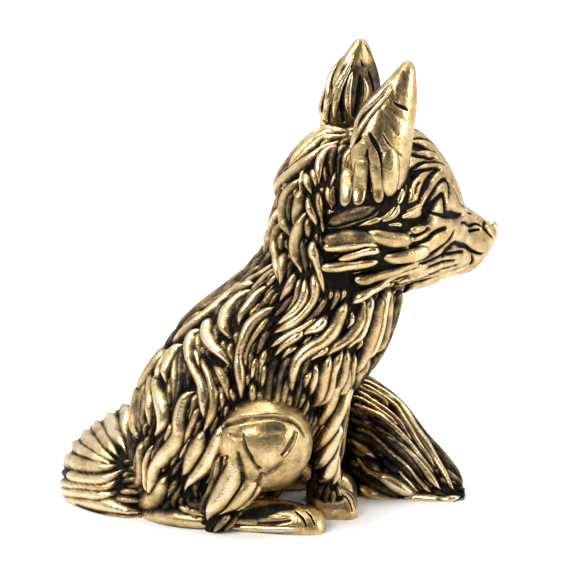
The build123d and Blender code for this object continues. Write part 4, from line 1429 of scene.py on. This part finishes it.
def build_tail(material):
    """The tail with its long strands, where the filling of the brush is painted darker, as shade, on the
    side that is seen.
    """
    skin = Skin(tail_grid())
    skin.sink(FUR_DEPTH)
    skin.grid[..., 2] = np.maximum(skin.grid[..., 2], 0)
    drawn = drawn_places(skin, TAIL_ROOT_LOCKS, mirrored=False)
    drawn += drawn_places(skin, TAIL_BRUSH_LOCKS, mirrored=False, widen=0.95)
    filling = fill_places(skin, drawn, skin.grid[..., 2] > TAIL_FUR_LEVEL, seed=12, reach=9.0)
    random = np.random.default_rng(12)
    rubs = [random.uniform(*TAIL_RUB) for _ in drawn]
    for run in filling:
        ring, step = run[len(run) // 2, :2].astype(int)
        seen = skin.hidden[ring, step % skin.grid.shape[1]] == 0
        # Filling on the brush's seen side is darkened as painted shade under the body.
        dark = seen and ring > BRUSH_START * len(skin.grid)
        rubs.append(random.uniform(*(BRUSH_SHADED_FILLED_RUB if dark else FILLED_RUB)))
    skin.raise_fur(drawn + filling, rubs)
    add_piece("tail_skin", "tail", [surface(skin)], material)


def add_camera():
    """A camera at the photograph's angle, with the origin at its pixel."""
    _, _, back = camera_axes()
    data = bpy.data.cameras.new("photo_view")
    camera = bpy.data.objects.new("photo_view", data)
    bpy.context.scene.collection.objects.link(camera)
    bpy.context.scene.camera = camera
    camera.location = camera_place() * MM
    camera.rotation_euler = (-back).to_track_quat("-Z", "Y").to_euler()
    data.sensor_width = 36
    data.lens = data.sensor_width * CAMERA_DISTANCE * PIXELS_PER_MM / PICTURE
    data.clip_start = 0.01


def add_sheet(name, corners, colour):
    """A flat board of the studio, as its four corners in metres."""
    mesh = bpy.data.meshes.new(name)
    mesh.from_pydata(corners, [], [(0, 1, 2, 3)])
    obj = bpy.data.objects.new(name, mesh)
    bpy.context.scene.collection.objects.link(obj)
    material = bpy.data.materials.new(name)
    _, shader = node_tree(material)
    shader.inputs["Base Color"].default_value = (*colour, 1)
    shader.inputs["Roughness"].default_value = BOARD_ROUGHNESS
    mesh.materials.append(material)
    return obj


def add_light(name, place, target, size, power):
    """A soft box that points at a target."""
    data = bpy.data.lights.new(name, "AREA")
    data.shape = "RECTANGLE"
    data.size, data.size_y = size
    data.energy = power
    light = bpy.data.objects.new(name, data)
    bpy.context.scene.collection.objects.link(light)
    light.location = place
    light.rotation_euler = (Vector(target) - Vector(place)).to_track_quat("-Z", "Y").to_euler()


def add_studio():
    """A pale floor, a grey wall behind the camera for the metal to mirror, soft boxes and a white world."""
    corners = [(-1, -1), (1, -1), (1, 1), (-1, 1)]
    add_sheet("floor", [(x * FLOOR_HALF, y * FLOOR_HALF, 0) for x, y in corners], FLOOR_COLOUR)
    corners = [(-WALL_HALF, 0), (WALL_HALF, 0), (WALL_HALF, WALL_TOP), (-WALL_HALF, WALL_TOP)]
    wall = add_sheet("wall", [(x, WALL_Y, z) for x, z in corners], WALL_COLOUR)
    wall.visible_camera = False
    for name, place, size, power in SOFT_BOXES:
        add_light(name, place, LIGHT_TARGET, size, power)
    world = bpy.data.worlds.new("studio")
    bpy.context.scene.world = world
    world.use_nodes = True
    tree = world.node_tree
    background = tree.nodes["Background"]
    path = tree.nodes.new("ShaderNodeLightPath")
    seen = math_node(tree, "MAXIMUM", path.outputs["Is Camera Ray"], path.outputs["Is Glossy Ray"])
    seen = math_node(tree, "MAXIMUM", seen, path.outputs["Is Transmission Ray"])
    tree.links.new(math_node(tree, "MAXIMUM", seen, WORLD_LIGHT), background.inputs["Strength"])
    background.inputs["Color"].default_value = (1, 1, 1, 1)


brass = antique_brass()
build_body(brass)
build_head(brass)
build_ears(brass)
build_legs(brass)
build_tail(brass)
add_camera()
add_studio()
bpy.context.scene.view_settings.view_transform = "Standard"
